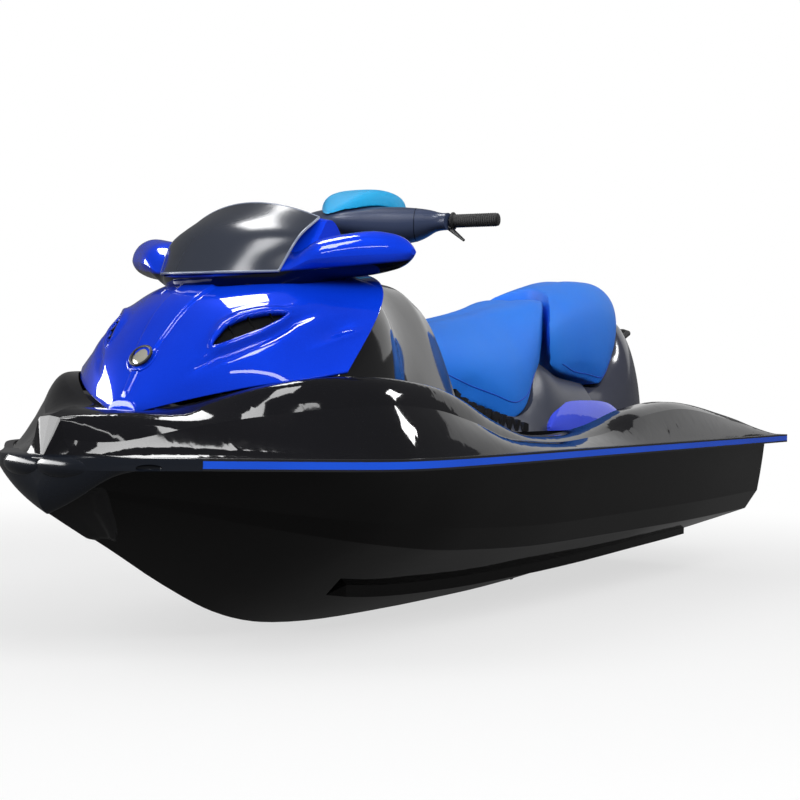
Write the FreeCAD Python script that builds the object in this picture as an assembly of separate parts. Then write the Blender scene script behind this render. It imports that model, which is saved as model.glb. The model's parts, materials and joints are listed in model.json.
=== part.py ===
"""Sit-down personal watercraft: a moulded hull and deck with a lifting hood,
tilted steering, a two-piece saddle and a water-jet drive, piece by piece.

Frame: +X to the bow, +Y to port, +Z up, in millimetres. The origin lies on the
waterline amidships, so the lowest keel is one draft below it. Heights in the
outline tables are read up from that keel, and fore(), out() and up() place them.
"""
import FreeCAD, Part
import functools
import math
import os
from FreeCAD import Vector

# Driving dimensions of the craft
LENGTH = 2990.0
BEAM = 1216.0
DRAFT = 235.0
RAIL_HEIGHT = 454.0

# Bond line of hull and deck, and the rubbing rail that closes it
FLANGE_THICK = 10.0
FLANGE_INSET = 12.0
RAIL_TALL = 26.0
RAIL_WIDE = 20.0
INSERT_TALL = 16.0

# Moulded shells
SHELL = 8.0
SEAM = 3.0
SOFT_GAP = 0.3

# Jet drive, all on the shaft line
JET_Z = -85.0
JET_BORE = 80.0
JET_WALL = 12.0
OUTLET_BORE = 40.0
OUTLET_WALL = 5.0
BLADE_CLEAR = 5.0
SHAFT_RADIUS = 14.0
TUNNEL_HALF = 127.0

# Engine block
ENGINE_LONG = 560.0
ENGINE_WIDE = 300.0
ENGINE_TALL = 360.0
BAY_END = 60.0
BAY_SIDE = 30.0

# Handlebar
BAR_RADIUS = 11.0
GRIP_RADIUS = 17.0
GRIP_LONG = 130.0
BAR_HALF = 385.0

PIN_CLEAR = 0.08

NOMINAL_LENGTH = 2990.0
NOMINAL_BEAM = 1216.0


def fore(x):
    """Station x of the lines plan, stretched to the craft's length."""
    return x * LENGTH / NOMINAL_LENGTH


def out(y):
    """Half-breadth y of the lines plan, stretched to the craft's beam."""
    return y * BEAM / NOMINAL_BEAM


def up(height):
    """Level of a height read up from the lowest keel."""
    return height - DRAFT


RAIL_Z = up(RAIL_HEIGHT)


def fair(points):
    """A monotone cubic through (station, value) points: no overshoot between them."""
    xs = [p[0] for p in points]
    ys = [p[1] for p in points]
    n = len(xs)
    gap = [xs[i + 1] - xs[i] for i in range(n - 1)]
    slope = [(ys[i + 1] - ys[i]) / gap[i] for i in range(n - 1)]
    tangent = [slope[0]]
    for i in range(1, n - 1):
        if slope[i - 1] * slope[i] <= 0:
            tangent.append(0.0)
        else:
            w1 = 2 * gap[i] + gap[i - 1]
            w2 = gap[i] + 2 * gap[i - 1]
            tangent.append((w1 + w2) / (w1 / slope[i - 1] + w2 / slope[i]))
    tangent.append(slope[-1])

    def value(x):
        x = min(max(x, xs[0]), xs[-1])
        i = max(k for k in range(n - 1) if k == 0 or xs[k] <= x)
        t = (x - xs[i]) / gap[i]
        a = (1 + 2 * t) * (1 - t) ** 2 * ys[i] + t * (1 - t) ** 2 * gap[i] * tangent[i]
        b = t * t * (3 - 2 * t) * ys[i + 1] - t * t * (1 - t) * gap[i] * tangent[i + 1]
        return a + b

    return value


def spread(low, high, count):
    """count values from low to high, evenly spaced."""
    return [low + (high - low) * i / (count - 1) for i in range(count)]


def bezier(corners, t):
    """Point at t of the Bezier curve on these control points."""
    points = list(corners)
    while len(points) > 1:
        points = [a + (b - a) * t for a, b in zip(points, points[1:])]
    return points[0]


def arch(corners, count=9):
    """A Bezier curve as count points."""
    return [bezier(corners, t) for t in spread(0.0, 1.0, count)]


def across(points):
    """The same points on the other side of the centre plane, in reverse order."""
    return [Vector(p.x, -p.y, p.z) for p in reversed(points)]


def through(points):
    """A spline through points, one knot for each."""
    curve = Part.BSplineCurve()
    if len(points) == 2:
        curve.buildFromPolesMultsKnots(points, [2, 2], [0.0, 1.0], False, 1)
    else:
        curve.interpolate(Points=points, Parameters=[float(i) for i in range(len(points))])
    return curve


def skin(grid):
    """A surface through a grid of points, given as a list of section rows."""
    columns = [through([row[j] for row in grid]) for j in range(len(grid[0]))]
    poles = [c.getPoles() for c in columns]
    rows = [through([column[i] for column in poles]) for i in range(len(poles[0]))]
    surface = Part.BSplineSurface()
    surface.buildFromPolesMultsKnots(
        [r.getPoles() for r in rows],
        columns[0].getMultiplicities(), rows[0].getMultiplicities(),
        columns[0].getKnots(), rows[0].getKnots(),
        False, False, columns[0].Degree, rows[0].Degree)
    return surface.toShape()


def closed(faces):
    """A solid from faces that meet all round."""
    shell = Part.makeShell(faces)
    shell.sewShape()
    solid = Part.Solid(shell)
    if solid.Volume < 0:
        solid.reverse()
    return solid


def form(sections):
    """A solid skinned along sections, each a closed loop of open point rows."""
    bands = [[section[k] for section in sections] for k in range(len(sections[0]))]
    faces = [skin(band) for band in bands]
    for end in (0, -1):
        edges = [through(band[end]).toShape() for band in bands
                 if (band[end][0] - band[end][-1]).Length > 1e-6]
        faces.append(Part.Face(Part.Wire(Part.__sortEdges__(edges))))
    return closed(faces)


def sheet(outer, inner):
    """A shell between two grids of the same count: two skins and four edges."""
    faces = [skin(outer), skin(inner)]
    faces.append(skin([outer[0], inner[0]]))
    faces.append(skin([outer[-1], inner[-1]]))
    for column in (0, -1):
        faces.append(skin([[a[column], b[column]] for a, b in zip(outer, inner)]))
    return closed(faces)


def domed(port):
    """A full closed section from its port half, which ends on the centre plane."""
    rows = [port, across(port)]
    return rows + [[rows[-1][-1], rows[0][0]]]


def main_solid(shape):
    """The largest solid of a shape."""
    return max(shape.Solids, key=lambda solid: solid.Volume)


def box(x, y, z):
    """A box between three (low, high) pairs."""
    return Part.makeBox(x[1] - x[0], y[1] - y[0], z[1] - z[0], Vector(x[0], y[0], z[0]))


def outline(points, radius, level):
    """A flat closed wire at a level, its corners rounded to a radius."""
    corners = [Vector(p[0], p[1], level) for p in points]
    edges = []
    count = len(corners)
    cuts = []
    for i, corner in enumerate(corners):
        before = corners[i - 1] - corner
        after = corners[(i + 1) % count] - corner
        turn = before.getAngle(after)
        back = radius / math.tan(turn / 2)
        middle = before.normalize() + after.normalize()
        middle.normalize()
        start = corner + before * back
        end = corner + after * back
        apex = corner + middle * (radius / math.sin(turn / 2) - radius)
        cuts.append((start, apex, end))
    for i, (start, apex, end) in enumerate(cuts):
        edges.append(Part.Arc(start, apex, end).toShape())
        edges.append(Part.LineSegment(end, cuts[(i + 1) % count][0]).toShape())
    return Part.Wire(edges)


def slab(points, radius, low, high):
    """A flat plate with a rounded outline between two levels."""
    wire = outline(points, radius, low)
    return Part.Face(wire).extrude(Vector(0, 0, high - low))


def side_cut(points, half):
    """A plate drawn in the (x, z) plane, reaching half to each side."""
    corners = [Vector(p[0], -half, p[1]) for p in points]
    wire = Part.makePolygon(corners + [corners[0]])
    return Part.Face(wire).extrude(Vector(0, 2 * half, 0))


def revolve_x(profile, level):
    """A turned solid about the line y = 0, z = level, from (x, radius) points."""
    corners = [Vector(x, 0, level + r) for x, r in profile]
    face = Part.Face(Part.makePolygon(corners + [corners[0]]))
    return face.revolve(Vector(0, 0, level), Vector(1, 0, 0), 360)


def rod(start, end, radius):
    """A round bar from one point to another."""
    line = end - start
    return Part.makeCylinder(radius, line.Length, start, line)


def mirrored(shape):
    """The shape on the other side of the centre plane."""
    return shape.mirror(Vector(0, 0, 0), Vector(0, 1, 0))


# Lines plan: half-breadths and heights along the craft

STERN_X = fore(-1545.0)
TRANSOM_X = fore(-1490.0)

rail_half = fair([(-1545, 568), (-1000, 580), (0, 596), (500, 608), (750, 606), (880, 594),
                  (980, 558), (1063, 492), (1171, 383), (1271, 280), (1355, 192), (1405, 132),
                  (1432, 78), (1445, 24)])
keel_height = fair([(-1490, 48), (-1270, 37), (-980, 27), (-550, 7), (-300, 1), (0, 0),
                    (330, 4), (510, 12), (680, 30), (840, 68), (985, 129), (1120, 197),
                    (1254, 271), (1376, 333), (1405, 350)])
chine_half = fair([(-1490, 442), (-800, 455), (0, 455), (500, 440), (800, 390), (1000, 295),
                   (1150, 200), (1271, 118), (1355, 62), (1405, 34)])
chine_height = fair([(-1490, 208), (-800, 203), (0, 205), (500, 226), (800, 262), (1000, 300),
                     (1150, 335), (1271, 365), (1355, 385), (1405, 397)])
bevel_out = fair([(-1490, 42), (800, 40), (1405, 8)])
bevel_rise = fair([(-1490, 65), (600, 55), (1405, 10)])
sheer_half = fair([(-1490, 509), (-1000, 528), (0, 548), (600, 560), (850, 546), (980, 500),
                   (1063, 435), (1171, 325), (1271, 220), (1355, 132), (1405, 78)])
crest_half = fair([(-1524, 480), (-700, 460), (600, 460), (850, 432), (980, 372), (1063, 292),
                   (1187, 120), (1250, 92), (1319, 68), (1360, 50), (1412, 24)])
crest_height = fair([(-1524, 468), (-1450, 480), (-1190, 531), (-716, 580), (-480, 563),
                     (-190, 510), (0, 494), (83, 494), (211, 502), (389, 548), (569, 607),
                     (735, 634), (861, 642), (960, 640), (1063, 615), (1187, 562),
                     (1319, 556), (1412, 547)])
shoulder_half = fair([(-1524, 530), (-700, 512), (600, 510), (850, 495), (980, 440), (1063, 365),
                      (1187, 238), (1250, 185), (1319, 135), (1360, 92), (1392, 58), (1412, 42)])
shoulder_height = fair([(-1524, 466), (-1190, 512), (-716, 560), (-480, 545), (-190, 495),
                        (83, 480), (209, 485), (347, 496), (508, 534), (720, 572),
                        (860, 580), (980, 574), (1063, 562), (1187, 535), (1250, 518),
                        (1319, 500), (1360, 495), (1412, 504)])
centre_height = fair([(-1524, 475), (-1190, 535), (-716, 580), (83, 500), (400, 550),
                      (735, 600), (1000, 600), (1120, 575), (1200, 562), (1320, 566), (1412, 550)])

# Cockpit
FLOOR_HEIGHT = 345.0
PLATFORM_HEIGHT = 462.0
WELL_FRONT = fore(400.0)
WELL_REAR = fore(-1045.0)
WELL_OUTER = out(432.0)
WELL_INNER = out(235.0)
ISLAND_HEIGHT = 490.0
TUB_WALL = 10.0


flank_share = fair([(-1524, 0.5), (850, 0.5), (1187, 0.12), (1412, 0.12)])


def place(x, half, height):
    """Point of the lines plan at a station, half-breadth and height."""
    return Vector(fore(x), out(half), up(height))


def hull_section(x):
    """Port half of the hull at a station: topside, bevel and bottom, then the flat top."""
    half = sheer_half(x)
    low_y = chine_half(x)
    low_z = chine_height(x)
    top_y = low_y + bevel_out(x)
    top_z = low_z + bevel_rise(x)
    sheer = place(x, half, RAIL_HEIGHT)
    bevel_top = place(x, top_y, top_z)
    bevel_low = place(x, low_y, low_z)
    keel = place(x, 0, keel_height(x))
    swell = place(x, (half + top_y) / 2 + 4, (RAIL_HEIGHT + top_z) / 2)
    hollow = place(x, low_y * 0.5, (low_z + keel_height(x)) / 2 - 6)
    side = arch([sheer, swell, bevel_top], 5)
    bevel = [bevel_top, bevel_low]
    bottom = arch([bevel_low, hollow, keel], 5)
    return [side, bevel, bottom, across(bottom), across(bevel), across(side),
            [across(side)[-1], side[0]]]


def flange_plate(inset, low, high):
    """A plate on the rail's outline, drawn in by an inset, between two levels."""
    stations = spread(-1545.0, 1445.0, 40)
    port = [Vector(fore(x), out(rail_half(x)), low) for x in stations]
    edge = through(port)
    inner = []
    for i, point in enumerate(port):
        tangent = edge.tangent(float(i))[0]
        inner.append(point + Vector(tangent.y, -tangent.x, 0) * inset)
    inner[0] = Vector(STERN_X + inset, inner[0].y, low)
    inner[-1] = Vector(inner[-1].x, max(inner[-1].y, 4.0), low)
    side = through(inner).toShape()
    other = through([Vector(p.x, -p.y, p.z) for p in inner]).toShape()
    nose = Part.LineSegment(inner[-1], Vector(inner[-1].x, -inner[-1].y, low)).toShape()
    tail = Part.LineSegment(Vector(inner[0].x, -inner[0].y, low), inner[0]).toShape()
    face = Part.Face(Part.Wire(Part.__sortEdges__([side, nose, other, tail])))
    return face.extrude(Vector(0, 0, high - low))


@functools.cache
def hull_form():
    """The bare hull: hard-chined topsides and a vee bottom under a flat top."""
    return form([hull_section(x) for x in spread(-1490.0, 1405.0, 30)])


# Jet tunnel and drive stations
TUNNEL_FRONT = fore(-1040.0)
TUNNEL_ROOF = 62.0
PUMP_FRONT = TUNNEL_FRONT
PUMP_BACK = PUMP_FRONT - 260.0
OUTLET_X = PUMP_BACK - 95.0
IMPELLER_X = PUMP_FRONT - 75.0
NOZZLE_PIVOT = OUTLET_X - 5.0
INTAKE_FRONT = fore(-600.0)
ENGINE_X = fore(-170.0)
ENGINE_Z = up(105.0)


def tub_block():
    """What the deck moulding fills below the bond line: the floor of both foot wells."""
    corners = [(WELL_REAR - TUB_WALL, -WELL_OUTER), (WELL_FRONT + TUB_WALL, -WELL_OUTER),
               (WELL_FRONT + TUB_WALL, WELL_OUTER), (WELL_REAR - TUB_WALL, WELL_OUTER)]
    return slab(corners, 60.0, up(FLOOR_HEIGHT) - TUB_WALL, RAIL_Z)


def engine_bay():
    """Space for the engine, open upwards below the saddle."""
    half = ENGINE_WIDE / 2 + BAY_SIDE
    reach = ENGINE_LONG / 2 + BAY_END
    return box((ENGINE_X - reach, ENGINE_X + reach), (-half, half),
               (ENGINE_Z, up(ISLAND_HEIGHT) + 200))


def jet_spaces():
    """What the drive takes out of the hull: tunnel, intake duct and shaft tube."""
    tunnel = box((TRANSOM_X - 50, TUNNEL_FRONT), (-TUNNEL_HALF, TUNNEL_HALF),
                 (-DRAFT - 50, TUNNEL_ROOF))
    lip = TUNNEL_FRONT + 70
    duct = side_cut([(INTAKE_FRONT, -DRAFT - 60), (lip, -DRAFT - 60), (lip, -DRAFT + 30),
                     (TUNNEL_FRONT - 1, JET_Z - JET_BORE), (TUNNEL_FRONT - 1, JET_Z + JET_BORE),
                     (lip + 60, JET_Z + JET_BORE - 15), (INTAKE_FRONT, -DRAFT + 60)], JET_BORE)
    tube = rod(Vector(TUNNEL_FRONT, 0, JET_Z), Vector(ENGINE_X, 0, JET_Z), SHAFT_RADIUS + 8)
    return [tunnel, duct, tube]


def bow_scoops():
    """Two shallow oval scoops, one each side of the stem."""
    scoops = []
    for side in (1, -1):
        scoop = Part.makeSphere(50.0)
        matrix = FreeCAD.Matrix()
        matrix.scale(1.3, 0.4, 0.9)
        scoop = scoop.transformGeometry(matrix)
        scoop.rotate(Vector(0, 0, 0), Vector(0, 0, 1), -48 * side)
        scoop.translate(Vector(fore(1345), side * out(122), up(352)))
        scoops.append(scoop)
    return scoops


STRAKE_INNER = 0.6
STRAKE_OUTER = 0.46


def strake():
    """Port spray strake: a level-bottomed rib along the vee bottom."""
    rows = []
    for x in spread(-1440.0, 640.0, 16):
        bottom = hull_section(x)[2]
        corners = [bottom[0], bottom[2] * 2 - (bottom[0] + bottom[-1]) * 0.5, bottom[-1]]
        inner = bezier(corners, STRAKE_INNER)
        outer = bezier(corners, STRAKE_OUTER)
        corner = Vector(outer.x, outer.y, inner.z + 1)
        lift = Vector(0, 0, 8)
        rows.append([[inner, corner], [corner, outer], [outer, outer + lift],
                     [outer + lift, inner + lift], [inner + lift, inner]])
    return form(rows)


def hull():
    """Hull moulding with its flange, strakes, the pockets for tub and engine, and the tunnel."""
    flange = flange_plate(FLANGE_INSET, RAIL_Z - FLANGE_THICK, RAIL_Z)
    rib = strake()
    body = hull_form().fuse([flange, rib, mirrored(rib)])
    bin_pocket = slab(bin_outline(SEAM), 40.0, up(HOOD_TRAY) + BIN_WALL - BIN_DEEP - SEAM, RAIL_Z + 50)
    return body.cut([tub_block(), engine_bay(), bin_pocket] + jet_spaces() + bow_scoops())


DECK_INSET = RAIL_WIDE + 5.0
CROWN_STERN = -1515.0
CROWN_BOW = 1412.0
FACET_LONG = 20.0


def lip_half(x):
    """Half-breadth of the deck's lower edge, drawn in from the rail."""
    slope = (rail_half(x + 4) - rail_half(x - 4)) / 8
    return rail_half(x) - DECK_INSET * math.hypot(1.0, slope)


def deck_section(x):
    """The deck's crown at a station, from rail edge to rail edge."""
    edge_y = lip_half(x)
    low = place(x, edge_y, RAIL_HEIGHT)
    lip = place(x, edge_y, RAIL_HEIGHT + FLANGE_THICK)
    shoulder = place(x, shoulder_half(x), shoulder_height(x))
    crest = place(x, crest_half(x), crest_height(x))
    share = flank_share(x)
    flank = place(x, (edge_y + shoulder_half(x)) / 2 + 8 * share,
                  RAIL_HEIGHT + FLANGE_THICK + (shoulder_height(x) - RAIL_HEIGHT) * share)
    inboard = place(x, crest_half(x) * 0.55, (crest_height(x) + centre_height(x)) / 2)
    centre = place(x, 0, centre_height(x))
    side = arch([lip, flank, shoulder], 4)
    roll = arch([shoulder, place(x, (shoulder_half(x) + crest_half(x)) / 2,
                                 crest_height(x) + 2), crest], 4)
    top = arch([crest, inboard, centre], 4)
    edge = [low, lip]
    return [edge, side, roll, top, across(top), across(roll), across(side), across(edge),
            [across(edge)[-1], edge[0]]]


def foot_well(side):
    """Room for one foot: a tapered well between gunwale and saddle island."""
    flare = 14.0
    low = [(WELL_REAR, WELL_INNER), (WELL_FRONT, WELL_INNER),
           (WELL_FRONT, WELL_OUTER - 90), (WELL_FRONT - 320, WELL_OUTER - TUB_WALL),
           (WELL_REAR, WELL_OUTER - TUB_WALL)]
    high = [(WELL_REAR, WELL_INNER - flare), (WELL_FRONT + flare, WELL_INNER - flare),
            (WELL_FRONT + flare, WELL_OUTER - 90), (WELL_FRONT - 320, WELL_OUTER + flare),
            (WELL_REAR, WELL_OUTER + flare)]
    if side < 0:
        low = [(x, -y) for x, y in reversed(low)]
        high = [(x, -y) for x, y in reversed(high)]
    wires = [outline(low, 35.0, up(FLOOR_HEIGHT)), outline(high, 45.0, up(FLOOR_HEIGHT) + 400)]
    return Part.makeLoft(wires, True, True)


def stern_platform():
    """Boarding platform: everything above its level between the quarters is open."""
    half = WELL_OUTER + 20
    return box((STERN_X - 10, WELL_REAR + 30), (-half, half), (up(PLATFORM_HEIGHT), up(1000)))


# Storage bin below the hood
BIN_FRONT = fore(1020.0)
BIN_REAR = fore(700.0)
BIN_HALF = out(200.0)
BIN_DEEP = 260.0
BIN_WALL = 4.0


def bin_outline(grow):
    """Corners of the bin in plan, grown outwards."""
    front = BIN_FRONT + grow
    rear = BIN_REAR - grow
    wide = BIN_HALF + grow
    narrow = BIN_HALF * 0.55 + grow
    return [(rear, -wide), (front - 150, -wide), (front, -narrow),
            (front, narrow), (front - 150, wide), (rear, wide)]


@functools.cache
def deck_body():
    """The deck moulding before anything is let into it."""
    crown = form([deck_section(x) for x in spread(CROWN_STERN, CROWN_BOW, 36)])
    flange = flange_plate(FLANGE_INSET, RAIL_Z, RAIL_Z + FLANGE_THICK)
    island = box((WELL_REAR + 30, fore(430)), (-WELL_INNER - 40, WELL_INNER + 40),
                 (up(ISLAND_HEIGHT), up(1000)))
    return crown.cut(island).fuse([flange, foredeck_front()])


def hood_tray():
    """Flat tray under the hood that carries the storage bin's lip."""
    corners = [(BIN_REAR - 60, -330), (fore(930), -300), (fore(1075), -150),
               (fore(1075), 150), (fore(930), 300), (BIN_REAR - 60, 330)]
    return slab(corners, 40.0, up(HOOD_TRAY), up(1000))


def deck():
    """Deck moulding: gunwales, foredeck, saddle island, foot wells and stern platform."""
    block = deck_body().fuse([tub_block()])
    opening = slab(bin_outline(SEAM), 40.0, up(200), up(1000))
    block = block.cut([foot_well(1), foot_well(-1), stern_platform(), opening, engine_bay(),
                       hood_block(-HOOD_CLEAR, 30.0), hood_tray()] + hinge_slots())
    return block.fuse(hinge_pin())


@functools.cache
def foredeck_front():
    """Steep front facet: the crown's last section drawn in and down to the bow bumper."""
    last = deck_section(CROWN_BOW)
    rows = []
    for share in spread(0.0, 1.0, 5):
        narrow = 1.0 - 0.86 * share
        sink = 1.0 - 0.84 * share
        ahead = FACET_LONG * share
        rows.append([[Vector(p.x + ahead, p.y * narrow, RAIL_Z + (p.z - RAIL_Z) * sink)
                      for p in band] for band in last])
    return form(rows)


def rail_ring():
    """Rubbing rail all round, gripping the two flanges."""
    low = RAIL_Z - RAIL_TALL / 2
    outer = flange_plate(0.0, low, low + RAIL_TALL)
    inner = flange_plate(RAIL_WIDE, low - 1, low + RAIL_TALL + 1)
    flange = flange_plate(FLANGE_INSET, RAIL_Z - FLANGE_THICK, RAIL_Z + FLANGE_THICK)
    return outer.cut([inner, flange])


def split_rail(ring):
    """The ring in three: port, starboard and stern lengths, clear of the bow bumper."""
    seam = STERN_X + RAIL_WIDE + 30
    front = fore(BUMPER_START)
    wide = BEAM
    port = ring.common(box((seam, front), (0, wide), (-wide, wide)))
    stern = ring.common(box((STERN_X - 20, seam), (-wide, wide), (-wide, wide)))
    return port, mirrored(port), stern


GROOVE = 3.0


def insert_ring():
    """Coloured strip let into a groove of the rubbing rail."""
    low = RAIL_Z - INSERT_TALL / 2
    outer = flange_plate(0.0, low, low + INSERT_TALL)
    inner = flange_plate(GROOVE, low - 1, low + INSERT_TALL + 1)
    return outer.cut(inner)


# Bow bumper: station, half-breadth, lowest and highest point, half of its side face
BUMPER_START = 1262.0
bumper_lines = [
    (1262, rail_half(1262), 441, 467, 13),
    (1300, rail_half(1300) + 2, 438, 468, 13),
    (1335, rail_half(1335) + 6, 428, 469, 13),
    (1365, 194, 404, 470, 13),
    (1390, 170, 366, 470, 13),
    (1405, 154, 346, 470, 13),
    (1418, 134, 346, 470, 13),
    (1430, 108, 358, 469, 12),
    (1439, 76, 374, 467, 11),
    (1444, 42, 392, 464, 9),
    (1445, 16, 412, 460, 7),
]


def cleat_hollows():
    """Eye-shaped hollow in each side of the bumper."""
    hollows = []
    for side in (1, -1):
        hollow = Part.makeSphere(30.0)
        matrix = FreeCAD.Matrix()
        matrix.scale(1.0, 0.3, 0.26)
        hollow = hollow.transformGeometry(matrix)
        hollow.rotate(Vector(0, 0, 0), Vector(0, 0, 1), -48 * side)
        hollow.translate(place(1343, side * 211, RAIL_HEIGHT - 7))
        hollows.append(hollow)
    return hollows


def bow_bumper():
    """Moulded rubber nose, rounded into a lobe each side of the stem and drawn down over it."""
    rows = []
    for x, half, low, high, face in bumper_lines:
        keel = place(x, 0, low)
        brow = place(x, 0, high)
        edge_low = place(x, half, RAIL_HEIGHT - face)
        edge_high = place(x, half, RAIL_HEIGHT + face)
        swell = place(x, half + 4 * face / RAIL_TALL, RAIL_HEIGHT)
        belly = place(x, half * 0.72, low + (RAIL_HEIGHT - low) * 0.38)
        top = arch([brow, place(x, half * 0.7, high + 1), edge_high], 4)
        side = arch([edge_high, swell, edge_low], 4)
        under = arch([edge_low, belly, keel], 5)
        rows.append([top, side, under, across(under), across(side), across(top)])
    body = form(rows)
    flange = flange_plate(FLANGE_INSET, RAIL_Z - FLANGE_THICK, RAIL_Z)
    return main_solid(body.cut([hull_form(), flange, deck_body()] + cleat_hollows()))


# Hood: base line, two shoulder controls and centre line, from its rear edge to the nose
hood_lines = {
    "base": (fair([(0, 900), (0.25, 968), (0.5, 1045), (0.75, 1125), (1, 1188)]),
             fair([(0, 400), (0.25, 340), (0.5, 262), (0.75, 158), (1, 40)]),
             fair([(0, 652), (0.25, 634), (0.5, 618), (0.75, 590), (1, 556)])),
    "side": (fair([(0, 720), (0.25, 890), (0.5, 1015), (0.75, 1118), (1, 1190)]),
             fair([(0, 400), (0.25, 318), (0.5, 245), (0.75, 150), (1, 40)]),
             fair([(0, 840), (0.25, 780), (0.5, 735), (0.75, 662), (1, 575)])),
    "brow": (fair([(0, 590), (0.25, 832), (0.5, 975), (0.75, 1102), (1, 1188)]),
             fair([(0, 380), (0.25, 240), (0.5, 150), (0.75, 84), (1, 25)]),
             fair([(0, 925), (0.25, 882), (0.5, 825), (0.75, 718), (1, 585)])),
    "centre": (fair([(0, 600), (0.25, 850), (0.5, 1000), (0.75, 1110), (1, 1188)]),
               fair([(0, 0), (1, 0)]),
               fair([(0, 885), (0.25, 872), (0.5, 812), (0.75, 700), (1, 583)])),
}
HOOD_HINGE_X = fore(1197.0)
HOOD_HINGE_Z = up(548.0)
HOOD_TRAY = 590.0
HOOD_CLEAR = 7.0
HINGE_PIN = 4.0
HINGE_RING = 8.0
HINGE_Y = 38.0
HINGE_LUG = 8.0
HINGE_GAP = 5.0


def hood_point(line, s, inset):
    """Point of a hood line at share s of the way to the nose, drawn inwards by inset."""
    x, y, height = (curve(s) for curve in hood_lines[line])
    lower = {"base": 0.0, "side": 0.7, "brow": 1.0, "centre": 1.0}[line]
    narrower = {"base": 1.0, "side": 1.0, "brow": 0.9, "centre": 0.0}[line]
    return Vector(fore(x) - 0.3 * inset * s, max(out(y) - inset * narrower, 0.0),
                  up(height) - inset * lower)


def hood_grid(inset):
    """Rows of the hood's skin from the rear edge to the nose, port base to starboard base."""
    rows = []
    for s in spread(0.0, 1.0, 13):
        port = arch([hood_point(line, s, inset) for line in hood_lines], 9)
        rows.append(port + across(port)[1:])
    return rows


@functools.cache
def hood_block(inset, drop):
    """All that lies below the hood's skin down to a drop below its base line."""
    outer = hood_grid(inset)
    under = []
    for s, row in zip(spread(0.0, 1.0, 13), outer):
        level = hood_point("base", s, 0).z - drop
        under.append([Vector(p.x, p.y, level) for p in row])
    return sheet(outer, under)


# Air intake in each hood flank: tips of the eye and the way it looks out
INTAKE_FORE = (1090.0, 170.0, 721.0)
INTAKE_AFT = (930.0, 260.0, 792.0)
intake_upper = [(0.14, 20.0), (0.28, 32.0), (0.44, 34.0), (0.66, 27.0), (0.87, 13.0)]
intake_lower = [(0.83, -9.0), (0.58, -14.0), (0.28, -10.0)]
INTAKE_RIM = 11.0
INTAKE_PROUD = 4.0


def intake_eye(grow, deep):
    """Eye-shaped prism through the port flank of the hood, its outline grown by an offset."""
    fore_tip = place(*INTAKE_FORE)
    along = place(*INTAKE_AFT) - fore_tip
    length = along.Length
    along.normalize()
    look = Vector(0.55, 0.55, 0.63)
    look = (look - along * look.dot(along)).normalize()
    rise = look.cross(along)
    if rise.z < 0:
        rise = rise * -1
    start = fore_tip - along * (1.6 * grow)
    end = fore_tip + along * (length + 1.6 * grow)
    upper = [fore_tip + along * (length * a) + rise * (c + grow) for a, c in intake_upper]
    lower = [fore_tip + along * (length * a) + rise * (c - grow) for a, c in intake_lower]
    edges = [through([start] + upper + [end]).toShape(), through([end] + lower + [start]).toShape()]
    face = Part.Face(Part.Wire(edges))
    face.translate(look * -deep)
    return face.extrude(look * (2 * deep))


def intake_rim():
    """Raised rim round the port intake."""
    band = sheet(hood_grid(-INTAKE_PROUD), hood_grid(SHELL / 2))
    return band.common(intake_eye(INTAKE_RIM, 70.0).cut(intake_eye(0.0, 80.0)))


def hood_at(s, half, inset):
    """Point of the hood's skin at share s of its length and a half-breadth off the centre."""
    corners = [hood_point(line, s, inset) for line in hood_lines]
    low, high = 0.0, 1.0
    for _ in range(30):
        middle = (low + high) / 2
        if bezier(corners, middle).y > half:
            low = middle
        else:
            high = middle
    return bezier(corners, low)


SPINE_PROUD = 6.0
spine_half = fair([(0, 66), (0.25, 62), (0.5, 50), (0.7, 38), (0.79, 30), (0.87, 14), (1, 11)])


@functools.cache
def hood_spine():
    """Raised band along the hood's crown, drawn in to a rib below the badge."""
    outer = []
    inner = []
    for s in spread(0.03, 1.0, 17):
        half = spine_half(s)
        low = [hood_at(s, half * k, SHELL / 2) for k in spread(1.0, 0.0, 5)]
        high = [hood_at(s, max(half - SPINE_PROUD, 2.0) * k, -SPINE_PROUD)
                for k in spread(1.0, 0.0, 5)]
        outer.append(high + across(high)[1:])
        inner.append(low + across(low)[1:])
    return sheet(outer, inner)


def hinge_slots():
    """A slot in the foredeck for each hinge lug, in a shallow dish ahead of the hood's nose."""
    slots = []
    for y in (HINGE_Y - HINGE_LUG, -HINGE_Y):
        slots.append(box((HOOD_HINGE_X - 45, HOOD_HINGE_X + HINGE_RING + HINGE_GAP),
                         (y - HINGE_GAP, y + HINGE_LUG + HINGE_GAP),
                         (HOOD_HINGE_Z - HINGE_RING - HINGE_GAP, HOOD_HINGE_Z + 60)))
    dish = Part.makeSphere(95.0)
    matrix = FreeCAD.Matrix()
    matrix.scale(0.4, 1.0, 0.17)
    dish = dish.transformGeometry(matrix)
    dish.translate(Vector(HOOD_HINGE_X, 0, up(564.0)))
    return slots + [dish]


def hinge_pin():
    """Hinge pin of the hood, held in the deck between and beside the slots."""
    half = HINGE_Y + HINGE_GAP + 6
    return rod(Vector(HOOD_HINGE_X, -half, HOOD_HINGE_Z), Vector(HOOD_HINGE_X, half, HOOD_HINGE_Z),
               HINGE_PIN)


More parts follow.
